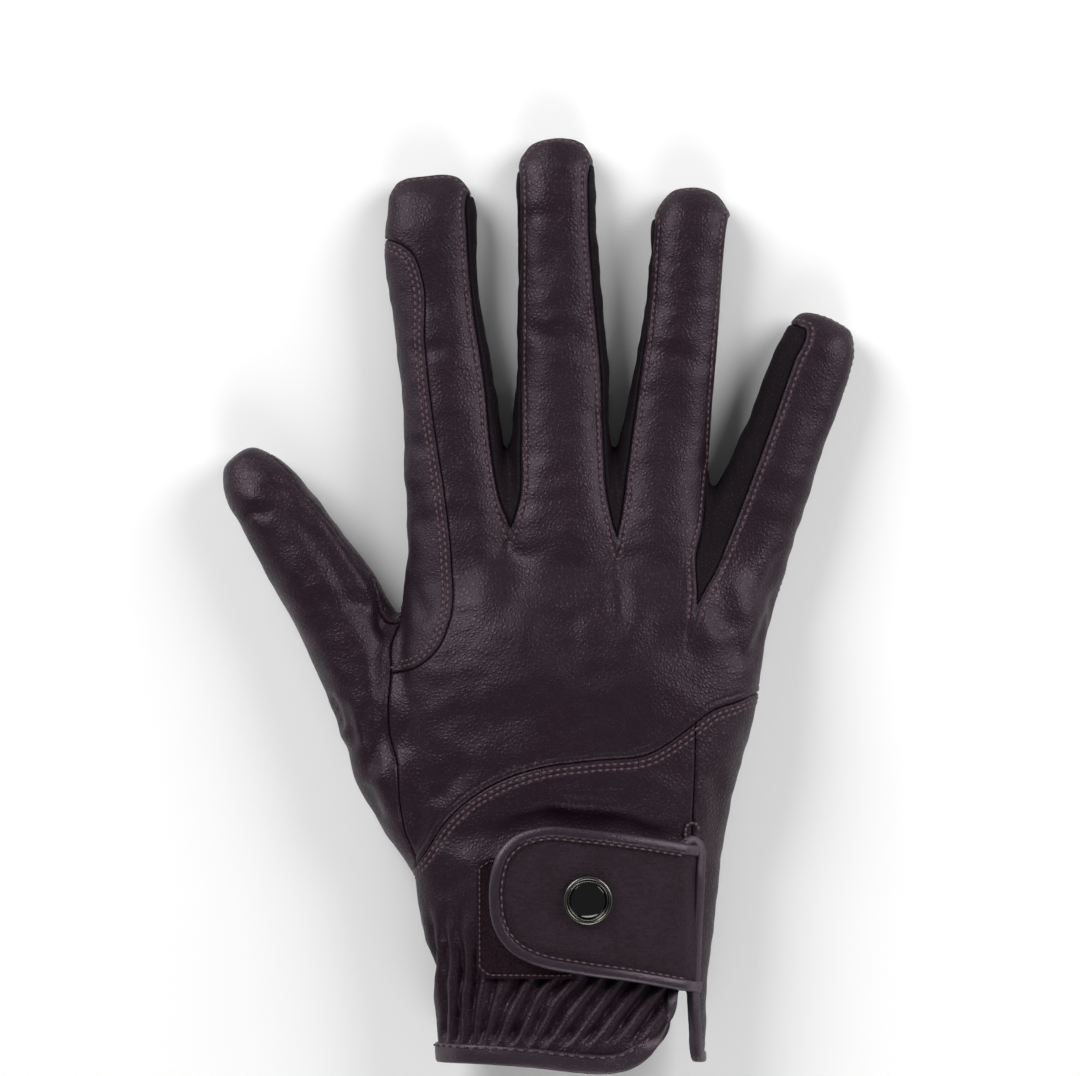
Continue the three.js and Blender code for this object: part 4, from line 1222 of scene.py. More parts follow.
# %% Metal and gloss
def metal(name, colour):
    """Turned metal, a little tarnished."""
    finish = Finish(name)
    marks = finish.noise(1.2, 3.0, (1, 1, 6), 0.6)
    tarnish = finish.noise(0.35, 2.0)
    patches = finish.ramp(tarnish, 0.35, 0.7)
    finish.set(
        Base_Color=finish.mixed(patches, colour, times(colour, 0.7)), Metallic=1.0,
        Roughness=0.2 + marks * 0.12, Normal=finish.bump(marks, 0.01),
    )
    return finish.material


def gloss(name, colour):
    """Clear gloss over black, with a little dust."""
    finish = Finish(name)
    dust = finish.noise(2.5, 3.0, roughness=0.7)
    lift = tuple(channel + 0.004 for channel in colour[:3]) + (1,)
    finish.set(
        Base_Color=finish.mixed(finish.ramp(dust, 0.55, 0.8), colour, lift),
        Roughness=0.06 + dust * 0.03, Normal=finish.bump(dust, 0.002),
    )
    finish.shader.inputs["Coat Weight"].default_value = 1.0
    finish.shader.inputs["Coat Roughness"].default_value = 0.04
    return finish.material

# %% [markdown]
# All the leather is one dye. It takes the dye a little differently on the palm, on the side
# panel and on the strap's piping. The hem's binding is painted lighter, a painted highlight for
# its satin sheen, and the strips between the fingers are painted near black: painted shade for
# the shade they lie in.

# %% The glove's finishes
AUBERGINE = srgb(33, 19, 29)
AUBERGINE_WORN = srgb(41, 25, 36)
FINISHES = {
    "grain_leather": leather("grain_leather", AUBERGINE, AUBERGINE_WORN, 0.33),
    "palm_leather": leather("palm_leather", srgb(34, 21, 30), srgb(44, 29, 39), 0.34, 0.95, 0.11),
    "side_leather": leather("side_leather", srgb(40, 28, 38), srgb(49, 36, 46), 0.38, 1.3, 0.09, 1.0),
    # Painted shade: the strips between the fingers get a near-black copy of the dye for the shade they
    # lie in.
    "fourchette_leather": leather(
        "fourchette_leather", srgb(15, 9, 14), srgb(20, 13, 18), 0.6, shine=0.15,
    ),
    # Painted highlight: the binding gets a lighter copy of the dye for the sheen of its satin leather.
    "binding_leather": leather(
        "binding_leather", srgb(40, 31, 39), srgb(50, 40, 49), 0.3, 1.6, 0.05, 0.25, 0.55,
    ),
    "piping_leather": leather(
        "piping_leather", srgb(43, 34, 43), srgb(51, 41, 51), 0.25, 1.8, 0.04, 0.2, 0.6,
    ),
    "strap_suede": suede("strap_suede", srgb(27, 16, 24)),
    "fastening": hook_and_loop("fastening", srgb(26, 14, 21)),
    "badge_metal": metal("badge_metal", srgb(104, 102, 97)),
    "badge_gloss": gloss("badge_gloss", srgb(10, 10, 11)),
}
FLESH = flesh("flesh_side", srgb(40, 29, 36))
THREAD = thread("sewing_thread", srgb(76, 51, 57))
# The needle holes are flat near-black discs: painted shade where the thread dips into the leather.
HOLE_PAINTED_SHADE = thread("needle_hole_painted_shade", srgb(8, 5, 7))
print("finishes:", ", ".join(FINISHES))

# %% [markdown]
# ## The leather panels
# Each cut skin gets its flesh side and its rim and becomes one object, in the place of the CAD
# piece of the same name. The flesh side has its own finish, which shows in the open cuff.

# %% Panels as objects
PANEL_SLOTS = {
    "thumb_back": "grain_leather", "thumb_front": "palm_leather", "cuff_yoke": "grain_leather",
    "index_side_panel": "side_leather", "fourchette_index_middle": "fourchette_leather",
    "fourchette_middle_ring": "fourchette_leather", "fourchette_ring_little": "fourchette_leather",
    "back_panel": "grain_leather", "palm_panel": "palm_leather",
}


def piece(name, points, faces, slot, node=None, second=None, which=None):
    """A finished piece: a smooth mesh with its finish, riding on the glove, in a CAD node's place."""
    mesh = mesh_from(name, points, faces)
    mesh.materials.append(FINISHES[slot])
    if second is not None:
        mesh.materials.append(second)
        mesh.polygons.foreach_set("material_index", which)
    mesh.polygons.foreach_set("use_smooth", np.ones(len(mesh.polygons), bool))
    made = put(name, mesh)
    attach(made, "root")
    if node:
        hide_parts(node)
    return made


for name, panel in panels.items():
    points, faces, inside = walled(panel)
    piece(f"leather_{name}", points, faces, PANEL_SLOTS[name], name, FLESH, inside)
print("panels made:", len(panels))

# %% [markdown]
# ## Binding the hem
# A strip of leather is folded over the open edge of the cuff and round the corner of the vent. It
# is a section with a fold swept along the edge of the cut skin, which is one closed line. The
# sweep turns with the skin's own normal, so the strip lies flat on it all the way.


# %% Sweeps
def swept(path, normals, outward, section, closed):
    """Sweeps a section of (outward, up) places along a path."""
    count, sides = len(path), len(section)
    out, up = (shares[None, :, None] for shares in np.asarray(section, float).T)
    rings = path[:, None] + outward[:, None] * out + normals[:, None] * up
    faces = ring_quads(count, sides, closed).tolist()
    if not closed:
        faces.append(list(range(sides))[::-1])
        faces.append(list(range((count - 1) * sides, count * sides)))
    return rings.reshape(-1, 3), faces


def right_way_out(made):
    """Turns the faces of a swept or built piece outwards."""
    shape = bmesh.new()
    shape.from_mesh(made.data)
    bmesh.ops.remove_doubles(shape, verts=shape.verts, dist=0.000001)
    bmesh.ops.recalc_face_normals(shape, faces=shape.faces)
    shape.to_mesh(made.data)
    shape.free()
    made.data.polygons.foreach_set("use_smooth", np.ones(len(made.data.polygons), bool))
    return made


def even_path(points, normals, step, rounds, closed):
    """A path and its normals in even steps, smoothed a few times."""
    both = np.hstack([points, normals])
    both = even_steps(both, step, closed)
    for _ in range(rounds):
        before, after = np.roll(both, 1, axis=0), np.roll(both, -1, axis=0)
        if not closed:
            before[0], after[-1] = both[0], both[-1]
        both = both * 0.5 + (before + after) * 0.25
    normal = both[:, 3:] / np.linalg.norm(both[:, 3:], axis=1)[:, None]
    return both[:, :3], normal


def tangents(path, closed):
    if closed:
        way = np.roll(path, -1, axis=0) - np.roll(path, 1, axis=0)
    else:
        way = np.gradient(path, axis=0)
    return way / np.linalg.norm(way, axis=1)[:, None]

# %% [markdown]
# The open edge of the whole skin is one line. The strip is wide on the cuff and narrow on the
# thin tail beside the vent.

# %% Hem binding
hem = max(chained(whole.open_edges()), key=len)
hem_path, hem_normals = even_path(whole.points[hem], whole.normals[hem], 0.8, 4, True)
hem_way = tangents(hem_path, True)
hem_out = np.cross(hem_normals, hem_way)
hem_out /= np.linalg.norm(hem_out, axis=1)[:, None]
if hem_out[np.argmin(hem_path[:, 1])][1] > 0:
    hem_out = -hem_out
on_tail = smooth_step(0.22, 0.31, hem_path[:, 0] / PALM_WIDTH)
BINDING_WIDE = 4.9
BINDING_TAIL = 2.6
BINDING_SECTION = [
    (-1.0, 0.12), (-0.97, 0.5), (-0.88, 0.66), (-0.5, 0.78), (-0.12, 0.74), (0.0, 0.5), (0.02, 0.0),
    (0.02, -1.0), (0.0, -1.55), (-0.12, -1.85), (-0.5, -1.95), (-0.9, -1.8), (-1.0, -1.3), (-1.0, -0.5),
]
wide = BINDING_WIDE + (BINDING_TAIL - BINDING_WIDE) * on_tail
section = np.array(BINDING_SECTION)
edge_out = hem_out * wide[:, None]
binding_points, binding_faces = swept(hem_path + hem_out * 0.2, hem_normals, edge_out, section, True)
binding_points[:, 2] = np.maximum(binding_points[:, 2], 0.0)
right_way_out(
    piece("bound_hem", binding_points, binding_faces, "binding_leather", "cuff_binding"),
)
hem_length = np.linalg.norm(np.diff(hem_path, axis=0), axis=1).sum()
print("hem bound in", len(hem_path), "steps over", round(float(hem_length)), "mm")

# %% [markdown]
# ## The strap
# The closing strap is a flat tab that follows the cuff's round back. Its edge is bound with a
# smooth folded strip, sewn down along its inner side. The tab is laid over the hand's section at a
# height that rises from where it is sewn in to where the fastening lies under it.

# %% Strap
STRAP_OUTLINE = [
    (0, 0.441), (0.216, 0.497), (0.553, 0.559), (0.74, 0.575), (0.889, 0.503), (0.957, 0.4),
    (0.989, 0.269), (1, 0.062), (0.986, -0.083), (0.942, -0.214), (0.875, -0.31),
    (0.808, -0.359), (0.553, -0.441), (0.317, -0.49), (0, -0.579),
]
STRAP_THICK = 1.5
STRAP_CROWN = 0.35
STRAP_RINGS = 14
STRAP_CLEAR = 0.2
PIPING_WIDE = 3.1
PIPING_HIGH = 2.5
LOOP_AREA = [(0.55, -0.47), (1.06, 0.36)]
HOOK_AREA = [(0.62, -0.26), (0.93, 0.36)]
PATCH_CORNER = 0.05


def over_hand(xy, lift):
    """Height of a layer that lies a distance off the hand's smooth section."""
    left, right, low, high = hand_section(xy[:, 1])
    half = (right - left) / 2 + lift
    rise = (high - low) / 2 + lift
    u = np.clip(np.abs(xy[:, 0] - (left + right) / 2) / half, 0, 0.995)
    return (high + low) / 2 + rise * (1 - u**HAND_POWER) ** (1 / HAND_POWER)


def strap_lift(x):
    """Height of the strap's underside over the hand: it dips where it is sewn in."""
    along = (place(STRAP_SEWN_AT)[0] - x) / STRAP_LENGTH
    return 0.9 + 2.1 * smooth_step(0, 0.5, along) - 1.6 * (1 - smooth_step(0, 0.07, along))


def offset_line(line, distance):
    way = np.gradient(line, axis=0)
    way /= np.linalg.norm(way, axis=1)[:, None]
    return line + np.stack([-way[:, 1], way[:, 0]], -1) * distance


strap_edge = even_steps(smooth_line(strap_place(STRAP_OUTLINE), 0.5), 0.7)

# %% [markdown]
# The tab is a stack of outlines shrunk towards its middle line: up over the top and back
# underneath, which gives the edge its round and leaves the middle full.

# %% Strap body
def tab(outline, lift):
    """A soft slab over the hand inside an outline, rounded at its edge and fuller in the middle."""
    spine_a, spine_b = strap_place([(0.12, -0.03), (0.72, 0.05)])
    way = spine_b - spine_a
    t = np.clip(((outline - spine_a) @ way) / (way @ way), 0, 1)
    middle = spine_a + t[:, None] * way
    shares = np.sin(np.linspace(0, 1, STRAP_RINGS) * math.pi / 2)
    top, bottom = [], []
    for share in shares[::-1]:
        xy = middle + (outline - middle) * share
        low = lift(xy[:, 0])
        high = low + STRAP_THICK * (0.35 + 0.65 * np.sqrt(1 - share**4))
        high = high + STRAP_CROWN * (1 - share**2)
        top.append(np.column_stack([xy, over_hand(xy, high)]))
        bottom.append(np.column_stack([xy, over_hand(xy, low)]))
    rings = np.array(bottom[::-1] + top)
    return rings.reshape(-1, 3), ring_quads(*rings.shape[:2]).tolist()


def above_clear(x):
    return strap_lift(x) + STRAP_CLEAR


body_edge = offset_line(strap_edge, 1.4)
strap_points, strap_faces = tab(body_edge[::-1], above_clear)
right_way_out(piece("strap_body", strap_points, strap_faces, "strap_suede", "strap"))

# %% [markdown]
# The piping is a round section swept along the tab's edge. It needs the normals of the layer
# that it lies on, or it would sink in where the cuff turns away.

# %% Piping
def over_normals(points, lift):
    """Normals of the layer over the hand, from its heights a little to each side."""
    step = 0.4
    dx = over_hand(points + (step, 0), lift) - over_hand(points - (step, 0), lift)
    dy = over_hand(points + (0, step), lift) - over_hand(points - (0, step), lift)
    normal = np.column_stack([-dx / (2 * step), -dy / (2 * step), np.ones(len(points))])
    return normal / np.linalg.norm(normal, axis=1)[:, None]


def rounded_section(wide, high, sides, power=2.6):
    angle = np.linspace(0, 2 * math.pi, sides, endpoint=False)
    cos, sin = np.cos(angle), np.sin(angle)
    return np.stack([
        np.sign(cos) * np.abs(cos) ** (2 / power) * wide / 2,
        np.sign(sin) * np.abs(sin) ** (2 / power) * high / 2,
    ], -1)


def line_over_hand(line, lift):
    path = np.column_stack([line, over_hand(line, lift)])
    return path, over_normals(line, lift)


piping_line = offset_line(strap_edge, PIPING_WIDE / 2)
piping_path, piping_normals = line_over_hand(piping_line, strap_lift(piping_line[:, 0]) + 0.95)
piping_out = np.cross(tangents(piping_path, False), piping_normals)
piping_points, piping_faces = swept(
    piping_path, piping_normals, piping_out, rounded_section(PIPING_WIDE, PIPING_HIGH, 20), False,
)
right_way_out(
    piece("strap_piping", piping_points, piping_faces, "piping_leather", "strap_binding"),
)
print("strap and piping made")

# %% [markdown]
# The loop tape is sewn on the cuff and the hook tape under the strap. Only the loop tape's
# corner shows.

# %% Patches
def patch_piece(name, area, low, thick, node):
    """A flat patch of tape with cut corners, laid over the hand; returns its outline."""
    (x0, y0), (x1, y1) = area
    corner = PATCH_CORNER
    shares = [
        (x0, y0 + corner), (x0 + corner, y0), (x1 - corner, y0), (x1, y0 + corner),
        (x1, y1 - corner), (x1 - corner, y1), (x0 + corner, y1), (x0, y1 - corner),
    ]
    outline = even_steps(strap_place(shares), 1.2, True)
    middle = outline.mean(axis=0)
    high = low + thick
    rings = []
    for share, lift in [
        (0.03, low), (0.5, low), (1, low), (1, low + thick * 0.7),
        (0.97, high), (0.5, high), (0.03, high),
    ]:
        xy = middle + (outline - middle) * share
        rings.append(np.column_stack([xy, over_hand(xy, lift)]))
    rings = np.array(rings)
    count, sides = rings.shape[:2]
    faces = ring_quads(count, sides).tolist()
    faces += [list(range(sides)), list(range((count - 1) * sides, count * sides))]
    right_way_out(piece(name, rings.reshape(-1, 3), faces, "fastening", node))
    return outline


loop_edge = patch_piece("loop_tape", LOOP_AREA, 0.3, 0.9, "loop_patch")
hook_edge = patch_piece("hook_tape", HOOK_AREA, 1.3, 1.4, "hook_patch")
print("patches cut with", len(loop_edge), "and", len(hook_edge), "steps round")

# %% [markdown]
# ## The stud
# The stud is a turned metal ring with a second thin rim inside it, round a glossy black dome. Both
# are profiles spun round an axis, tilted to lie on the strap.

# %% Stud
RING_PROFILE = [
    (0.8, 0.0), (1.0, 0.0), (1.0, 0.55), (0.985, 0.8), (0.95, 0.95), (0.9, 1.0), (0.86, 0.95),
    (0.845, 0.8), (0.83, 0.78), (0.815, 0.88), (0.79, 0.93), (0.765, 0.88), (0.75, 0.7), (0.75, 0.2),
]
DOME_WIDE = 0.74
DOME_RISE = 0.42
DOME_FOOT = 0.5
POLE = 0.0001
BADGE_HEIGHT = 1.9
BADGE_SIDES = 96


def spun(profile, closed):
    """Turns a profile of (radius, height) shares round the stud's axis."""
    angles = np.linspace(0, 2 * math.pi, BADGE_SIDES, endpoint=False)
    profile = np.array(profile) * (BADGE_DIAMETER / 2, BADGE_HEIGHT)
    points = [(r * math.cos(a), r * math.sin(a), z) for a in angles for r, z in profile]
    count = len(profile)
    faces = []
    for k in range(BADGE_SIDES):
        here, ahead = k * count, (k + 1) % BADGE_SIDES * count
        for i in range(count - 1):
            faces.append([here + i, ahead + i, ahead + i + 1, here + i + 1])
        if closed:
            faces.append([here + count - 1, ahead + count - 1, ahead, here])
    return np.array(points), faces


stud_xy = badge_place[None]
stud_lift = strap_lift(stud_xy[:, 0]) + 0.2 + STRAP_THICK + 0.1
stud_normal = over_normals(stud_xy, stud_lift)[0]
stud_centre = np.append(badge_place, over_hand(stud_xy, stud_lift)[0])
stud_u = np.cross([0, 1, 0], stud_normal)
stud_u /= np.linalg.norm(stud_u)
stud_v = np.cross(stud_normal, stud_u)


def on_strap(points):
    return stud_centre + points @ np.stack([stud_u, stud_v, stud_normal])


ring_points, ring_faces = spun(RING_PROFILE, True)
right_way_out(piece("stud_ring", on_strap(ring_points), ring_faces, "badge_metal", "badge_ring"))
dome = [(POLE, 0.1), (DOME_WIDE, 0.1)]
for angle in np.linspace(0, math.pi / 2, 16):
    dome.append((max(DOME_WIDE * math.cos(angle), POLE), DOME_FOOT + DOME_RISE * math.sin(angle)))
dome_points, dome_faces = spun(dome, False)
right_way_out(piece("stud_dome", on_strap(dome_points), dome_faces, "badge_gloss", "badge_dome"))
print("stud turned:", len(ring_faces) + len(dome_faces), "faces")

# %% [markdown]
# ## Stitches
# A stitch is a short bead of thread that sinks into a needle hole at each end. Geometry Nodes lay
# them: the line becomes a curve, it is stepped evenly, and thread and hole are placed in turn,
# turned along the line and to the skin's normal. Each hole is a flat near-black disc on the skin,
# painted shade in place of a real hole. One tree serves every row on the glove.

# %% Stitch tree
STITCH_SIZES = {"Pitch": 1.8, "Length": 1.35, "Width": 0.7, "Height": 0.65, "Sink": 0.0}
HOLE_DEPTH = 0.3


def stitch_tree():
    tree = bpy.data.node_groups.new("stitch_row", "GeometryNodeTree")
    face = tree.interface
    face.new_socket("Geometry", in_out="INPUT", socket_type="NodeSocketGeometry")
    for name, value in STITCH_SIZES.items():
        size = face.new_socket(name, in_out="INPUT", socket_type="NodeSocketFloat")
        size.default_value = value * METRES
    face.new_socket("Thread", in_out="INPUT", socket_type="NodeSocketMaterial")
    face.new_socket("Hole_Painted_Shade", in_out="INPUT", socket_type="NodeSocketMaterial")
    face.new_socket("Geometry", in_out="OUTPUT", socket_type="NodeSocketGeometry")
    nodes, links = tree.nodes, tree.links
    start, end = nodes.new("NodeGroupInput"), nodes.new("NodeGroupOutput")

    def add(kind, settings=(), inputs=()):
        node = nodes.new(kind)
        for key, value in dict(settings).items():
            setattr(node, key, value)
        for key, value in dict(inputs).items():
            if hasattr(value, "is_output"):
                links.new(value, node.inputs[key])
            else:
                node.inputs[key].default_value = value
        return node

    told = start.outputs
    curve = add("GeometryNodeMeshToCurve", {}, {"Mesh": told["Geometry"]})
    half = add("ShaderNodeMath", {"operation": "MULTIPLY"}, {0: told["Pitch"], 1: 0.5})
    steps = add(
        "GeometryNodeResampleCurve", {"mode": "LENGTH"},
        {"Curve": curve.outputs[0], "Length": half.outputs[0]},
    )
    up = add("GeometryNodeInputNamedAttribute", {"data_type": "FLOAT_VECTOR"}, {"Name": "up"})
    way = add("GeometryNodeInputTangent")
    first = add("FunctionNodeAlignRotationToVector", {"axis": "X"}, {"Vector": way.outputs[0]})
    turn = add(
        "FunctionNodeAlignRotationToVector", {"axis": "Z", "pivot_axis": "X"},
        {"Rotation": first.outputs[0], "Vector": up.outputs[0]},
    )
    index = add("GeometryNodeInputIndex")
    odd = add("ShaderNodeMath", {"operation": "MODULO"}, {0: index.outputs[0], 1: 2.0})
    even = add("ShaderNodeMath", {"operation": "SUBTRACT"}, {0: 1.0, 1: odd.outputs[0]})
    bead = add("GeometryNodeMeshUVSphere", {}, {"Segments": 6, "Rings": 5, "Radius": 0.5})
    size = add(
        "ShaderNodeCombineXYZ", {}, {0: told["Length"], 1: told["Width"], 2: told["Height"]},
    )
    hole_size = add(
        "ShaderNodeCombineXYZ", {}, {0: told["Width"], 1: told["Width"], 2: HOLE_DEPTH * METRES},
    )
    sink = add(
        "ShaderNodeVectorMath", {"operation": "SCALE"}, {0: up.outputs[0], "Scale": told["Sink"]},
    )
    placed = add(
        "GeometryNodeSetPosition", {}, {"Geometry": steps.outputs[0], "Offset": sink.outputs[0]},
    )
    threads = add("GeometryNodeInstanceOnPoints", {}, {
        "Points": placed.outputs[0], "Selection": even.outputs[0], "Instance": bead.outputs[0],
        "Rotation": turn.outputs[0], "Scale": size.outputs[0],
    })
    holes = add("GeometryNodeInstanceOnPoints", {}, {
        "Points": placed.outputs[0], "Selection": odd.outputs[0], "Instance": bead.outputs[0],
        "Rotation": turn.outputs[0], "Scale": hole_size.outputs[0],
    })
    pieces = []
    for made, material in ((threads, "Thread"), (holes, "Hole_Painted_Shade")):
        real = add("GeometryNodeRealizeInstances", {}, {"Geometry": made.outputs[0]})
        painted = add(
            "GeometryNodeSetMaterial", {}, {"Geometry": real.outputs[0], "Material": told[material]},
        )
        pieces.append(painted.outputs[0])
    both = nodes.new("GeometryNodeJoinGeometry")
    for made in pieces:
        links.new(made, both.inputs[0])
    smooth = add("GeometryNodeSetShadeSmooth", {}, {"Geometry": both.outputs[0]})
    links.new(smooth.outputs[0], end.inputs[0])
    return tree


STITCH_TREE = stitch_tree()
print("stitch tree:", len(STITCH_TREE.nodes), "nodes")

# %% [markdown]
# A row starts as bare edges with the skin's normal on each point. The tree turns it into
# thread, and the result is kept as a plain mesh.

# %% Sewing a row
def stitch_row(name, lines, slot, **sizes):
    """Sews along lines of (place, normal) rows, with sizes that differ from the usual ones."""
    points, edges, ups = [], [], []
    for line in lines:
        line = np.asarray(line, float)
        start = len(points)
        points += line[:, :3].tolist()
        ups += line[:, 3:].tolist()
        edges += [[start + i, start + i + 1] for i in range(len(line) - 1)]
    mesh = mesh_from(name, np.array(points), [], edges)
    up = mesh.attributes.new("up", "FLOAT_VECTOR", "POINT")
    up.data.foreach_set("vector", np.array(ups, np.float32).ravel())
    sewn = put(name, mesh)
    modifier = sewn.modifiers.new("stitches", "NODES")
    modifier.node_group = STITCH_TREE
    items = STITCH_TREE.interface.items_tree
    sockets = {item.name: item.identifier for item in items if item.in_out == "INPUT"}
    for key, value in STITCH_SIZES.items():
        modifier[sockets[key]] = sizes.get(key.lower(), value) * METRES
    modifier[sockets["Thread"]] = THREAD
    modifier[sockets["Hole_Painted_Shade"]] = HOLE_PAINTED_SHADE
    graph = bpy.context.evaluated_depsgraph_get()
    finished = bpy.data.meshes.new_from_object(sewn.evaluated_get(graph))
    sewn.modifiers.clear()
    sewn.data = finished
    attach(sewn, "root")
    print(f"{name}: {len(finished.polygons)} faces")

# %% [markdown]
# The rows beside the seams come from the panels' own cut levels, so they keep an even distance
# from the seam. Only the stretches that are sewn on top are kept.

# %% Which stretches are sewn
SHORTEST_RUN = 12
IN_CHANNEL = -STITCH_CHANNEL["depth"]


def stretches(shown):
    """Start and end of each long enough stretch of shown places."""
    found, start = [], 0
    for i in range(1, len(shown) + 1):
        if i == len(shown) or shown[i] != shown[start]:
            if shown[start] and i - start > SHORTEST_RUN:
                found.append((start, i))
            start = i
    return found


def kept_parts(rows, keep):
    """The stretches of each row's lines whose places pass a test, evened out and smoothed."""
    kept = []
    for line in [line for row in rows for line in row]:
        for start, end in stretches(keep(line[:, :3])):
            path, normal = even_path(line[start:end, :3], line[start:end, 3:], 0.6, 4, False)
            kept.append(np.hstack([path, normal]))
    return kept


def on_top(places):
    """The finger and side seams that face up; on the sides the stitches turn under."""
    x, y = places[:, 0] / PALM_WIDTH, places[:, 1] / GLOVE_LENGTH
    on_index_left = (x < -0.36) & (y < 0.385) | (x < -0.3) & (y < 0.04)
    return ~on_index_left & (places[:, 2] > 4.5) & (y > -0.02)


def on_yoke(places):
    return (places[:, 1] > -80) & (places[:, 2] > 13)


def anywhere(places):
    return np.ones(len(places), bool)


def on_palm(places):
    return places[:, 2] < 10


def on_wrist(places):
    return places[:, 2] > 11.5


thumb_pair, wrist_pair = stitch_lines["palm_panel"][:2], stitch_lines["palm_panel"][2:]
for name, rows, keep, slot in [
    ("top_stitches", stitch_lines["back_panel"], on_top, "grain_leather"),
    ("yoke_stitches", stitch_lines["cuff_yoke"], on_yoke, "grain_leather"),
    ("side_stitches", stitch_lines["index_side_panel"], anywhere, "side_leather"),
    ("thumb_stitches", thumb_pair, on_palm, "palm_leather"),
    ("wrist_stitches", wrist_pair, on_wrist, "palm_leather"),
]:
    stitch_row(name, kept_parts(rows, keep), slot, sink=IN_CHANNEL)

# %% [markdown]
# The strap, the tape and the hem are sewn through from above, so their rows follow lines laid
# over the hand at each layer's height. The bar tack holds the end of the vent.

# %% Rows on the strap, the fastening and the hem
BAR_TACK = [
    (0.343, -0.253), (0.343, -0.243), (0.348, -0.2375), (0.36, -0.2355), (0.373, -0.237), (0.38, -0.243),
]
BAR_TACK_LIFT = 0.7
STRAP_ROW_LIFT = 0.62
LOOP_ROW_LIFT = 1.25
LOOP_ROW_SHARE = 0.94
HEM_ROW_IN = 0.9
HEM_ROW_LIFT = 0.82
STITCH_FLOOR = 0.25


def row_over_hand(line, lift):
    return np.hstack(line_over_hand(line, lift))


strap_row = offset_line(strap_edge, PIPING_WIDE + 0.1)
strap_row = row_over_hand(strap_row, strap_lift(strap_row[:, 0]) + STRAP_THICK + STRAP_ROW_LIFT)
stitch_row(
    "strap_stitches", [strap_row[6:-6]], "strap_suede", pitch=2.0, length=1.4, width=0.55, height=0.55,
)
bar = even_steps(smooth_line(place(BAR_TACK), 0.3), 0.4)
stitch_row(
    "bar_tack", [row_over_hand(bar, BAR_TACK_LIFT)], "grain_leather",
    pitch=1.2, length=1.0, width=0.8, height=0.6,
)
loop_row = np.vstack([loop_edge, loop_edge[:1]])
loop_row = loop_row.mean(axis=0) + (loop_row - loop_row.mean(axis=0)) * LOOP_ROW_SHARE
stitch_row(
    "loop_stitches", [row_over_hand(loop_row, LOOP_ROW_LIFT)], "fastening",
    pitch=1.5, length=1.1, width=0.5, height=0.5,
)
hem_row = hem_path - hem_out * (wide - HEM_ROW_IN)[:, None] + hem_normals * HEM_ROW_LIFT
hem_row[:, 2] = np.maximum(hem_row[:, 2], STITCH_FLOOR)
shown = (hem_path[:, 1] < -0.42 * GLOVE_LENGTH) & (on_tail < 0.5)
turns = np.flatnonzero(np.diff(shown.astype(int)) == 1)
roll = -(turns[0] + 1) if len(turns) else 0
hem_row = np.roll(np.hstack([hem_row, hem_normals]), roll, axis=0)
hem_runs = [hem_row[start:end] for start, end in stretches(np.roll(shown, roll))]
stitch_row(
    "hem_stitches", hem_runs, "binding_leather", pitch=2.6, length=1.7, width=0.55, height=0.5,
)

# %% [markdown]
# The palm's elastic is held by zigzag rows. Their places are found by rays shot up at the palm;
# a ray that meets nothing ends a row, which keeps the thread out of the vent's notch.

# %% Zigzag rows on the palm's elastic
ZIGZAG_ROWS = [{"at": -0.388, "rise": 0.009}, {"at": -0.43, "rise": 0.007}]
ZIGZAG_REACH = 0.36
palm = panels["palm_panel"]
palm_tree = BVHTree.FromPolygons([Vector(point) for point in palm.outer], palm.faces.tolist())


def zigzag(at, rise):
    """Rows of a zigzag round the cuff's underside, broken where the ray finds no palm."""
    runs, rows = [], []
    for x in np.arange(-ZIGZAG_REACH, ZIGZAG_REACH + 0.01, PALM_PITCH / 2 / PALM_WIDTH / 3):
        turn = abs(x * PALM_WIDTH / PALM_PITCH % 1 * 2 - 1) * 2 - 1
        spot = place((x, at + rise * turn))
        hit, normal, _, _ = palm_tree.ray_cast(Vector((spot[0], spot[1], -5)), Vector((0, 0, 1)))
        if hit and normal.z < -0.2:
            rows.append(list(hit) + list(normal))
        elif rows:
            runs.append(rows)
            rows = []
    return [run for run in runs + [rows] if len(run) > SHORTEST_RUN]


elastic_rows = [run for row in ZIGZAG_ROWS for run in zigzag(**row)]
stitch_row(
    "elastic_stitches", elastic_rows, "palm_leather", pitch=1.6, length=1.1, width=0.5, height=0.5,
)

# %% [markdown]
# ## Floor, light and camera
# The glove is looked at from straight above through a long lens, at the photograph's scale. The
# floor is pale. Three soft lights rake across the leather so that its grain shows.

# %% Stage
PHOTO_SCALE = 0.255
PHOTO_WIDTH = 1080
PHOTO_MIDDLE_ROW = 538
TABLES_ROW = 600
CAMERA_HEIGHT = 2.4
SENSOR = 36.0
FLOOR_REACH = 6.0
FLOOR_AT = -0.0002
LAMP_SIZE = 0.9
LAMPS = {
    "key": {"at": (-0.8, 0.75, 0.8), "power": 15},
    "fill": {"at": (1.0, 0.5, 0.75), "power": 12},
    "front": {"at": (0.15, -1.1, 0.6), "power": 8},
}
HORIZON_FADE = {"From Min": 0.0, "From Max": 0.45, "To Min": 0.95, "To Max": 0.1}

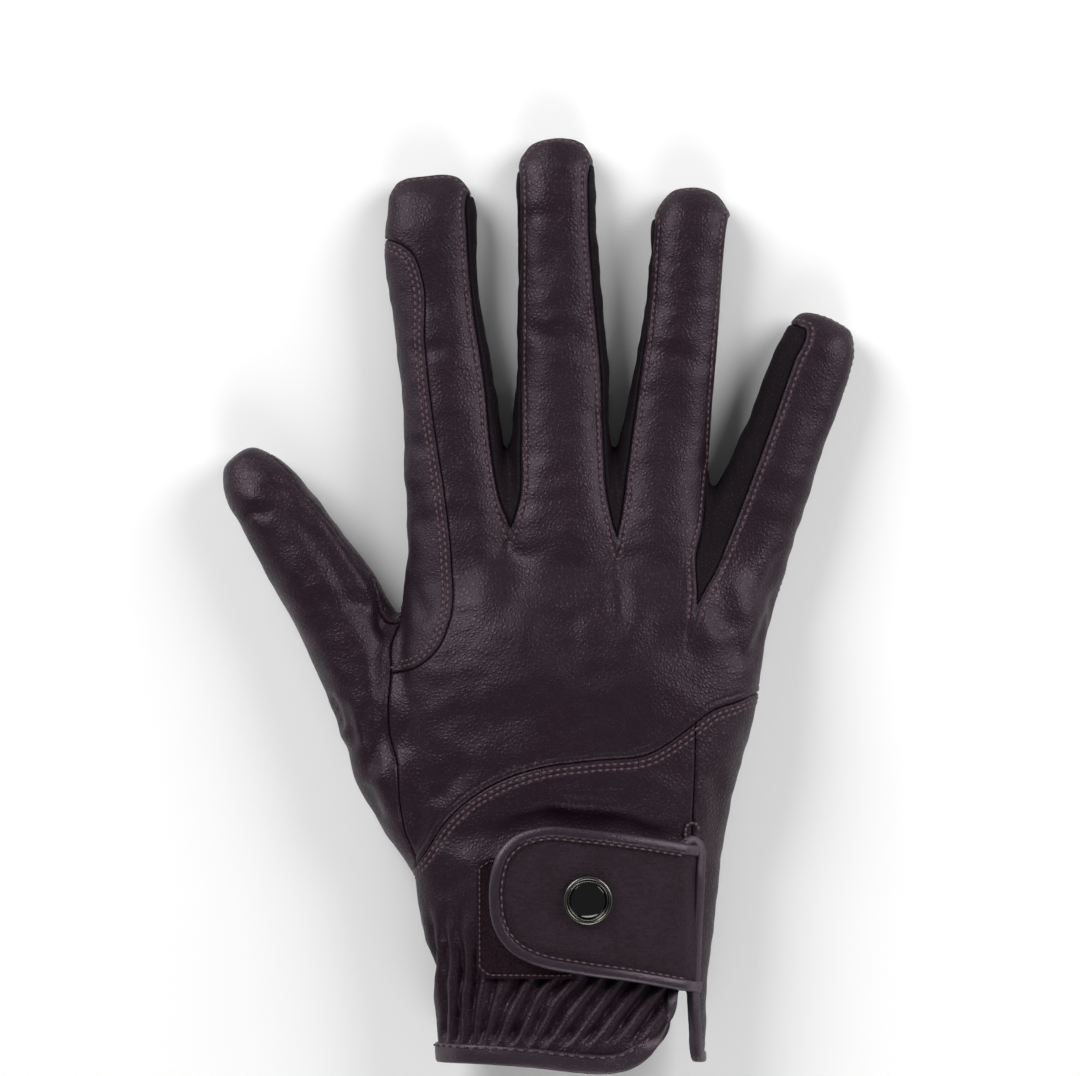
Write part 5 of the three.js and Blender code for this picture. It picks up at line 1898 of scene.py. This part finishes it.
floor_mesh = bpy.data.meshes.new("floor")
corners = [(-1, -1), (1, -1), (1, 1), (-1, 1)]
floor_corners = [(x * FLOOR_REACH, y * FLOOR_REACH, FLOOR_AT) for x, y in corners]
floor_mesh.from_pydata(floor_corners, [], [(0, 1, 2, 3)])
floor = put("floor", floor_mesh)
paper = Finish("paper")
paper.set(Base_Color=(0.93, 0.93, 0.93, 1), Roughness=0.9)
paper.shader.inputs["Specular IOR Level"].default_value = 0.1
floor_mesh.materials.append(paper.material)


for name, row in LAMPS.items():
    lamp = bpy.data.lights.new(name, "AREA")
    lamp.shape = "DISK"
    lamp.size = LAMP_SIZE
    lamp.energy = row["power"]
    lit = put(name, lamp)
    lit.location = row["at"]
    lit.rotation_euler = (-Vector(row["at"])).to_track_quat("-Z", "Y").to_euler()
print("lamps:", ", ".join(LAMPS))

# %% [markdown]
# The sky is dark overhead and pale at the horizon: seen from above the leather keeps its depth,
# and from the side its edges still catch light.

# %% Sky
world = bpy.data.worlds.new("studio")
world.use_nodes = True
sky = world.node_tree
background = sky.nodes["Background"]
background.inputs["Color"].default_value = (1, 1, 1, 1)
direction = sky.nodes.new("ShaderNodeTexCoord")
height = sky.nodes.new("ShaderNodeSeparateXYZ")
sky.links.new(direction.outputs["Generated"], height.inputs[0])
fade = sky.nodes.new("ShaderNodeMapRange")
fade.interpolation_type = "SMOOTHSTEP"
for key, value in HORIZON_FADE.items():
    fade.inputs[key].default_value = value
sky.links.new(height.outputs["Z"], fade.inputs["Value"])
sky.links.new(fade.outputs[0], background.inputs["Strength"])
bpy.context.scene.world = world
bpy.context.scene.view_settings.view_transform = "Standard"
print("sky fades over", HORIZON_FADE["From Max"], "of its height")

# %% [markdown]
# The camera's lens is worked out so that the photograph's scale holds at half the hand's
# height.

# %% Camera
camera_data = bpy.data.cameras.new("camera")
camera_data.sensor_fit = "HORIZONTAL"
camera_data.sensor_width = SENSOR
glove_mid = HAND_HEIGHT * 0.5 * METRES
view_width = PHOTO_WIDTH * PHOTO_SCALE * METRES
camera_data.lens = SENSOR * (CAMERA_HEIGHT - glove_mid) / view_width
camera = put("camera", camera_data)
middle_y = (TABLES_ROW - PHOTO_MIDDLE_ROW) * PHOTO_SCALE
camera.location = (0, (middle_y + frame_shift[1]) * METRES, CAMERA_HEIGHT)
bpy.context.scene.camera = camera
print("lens", round(camera_data.lens), "mm")
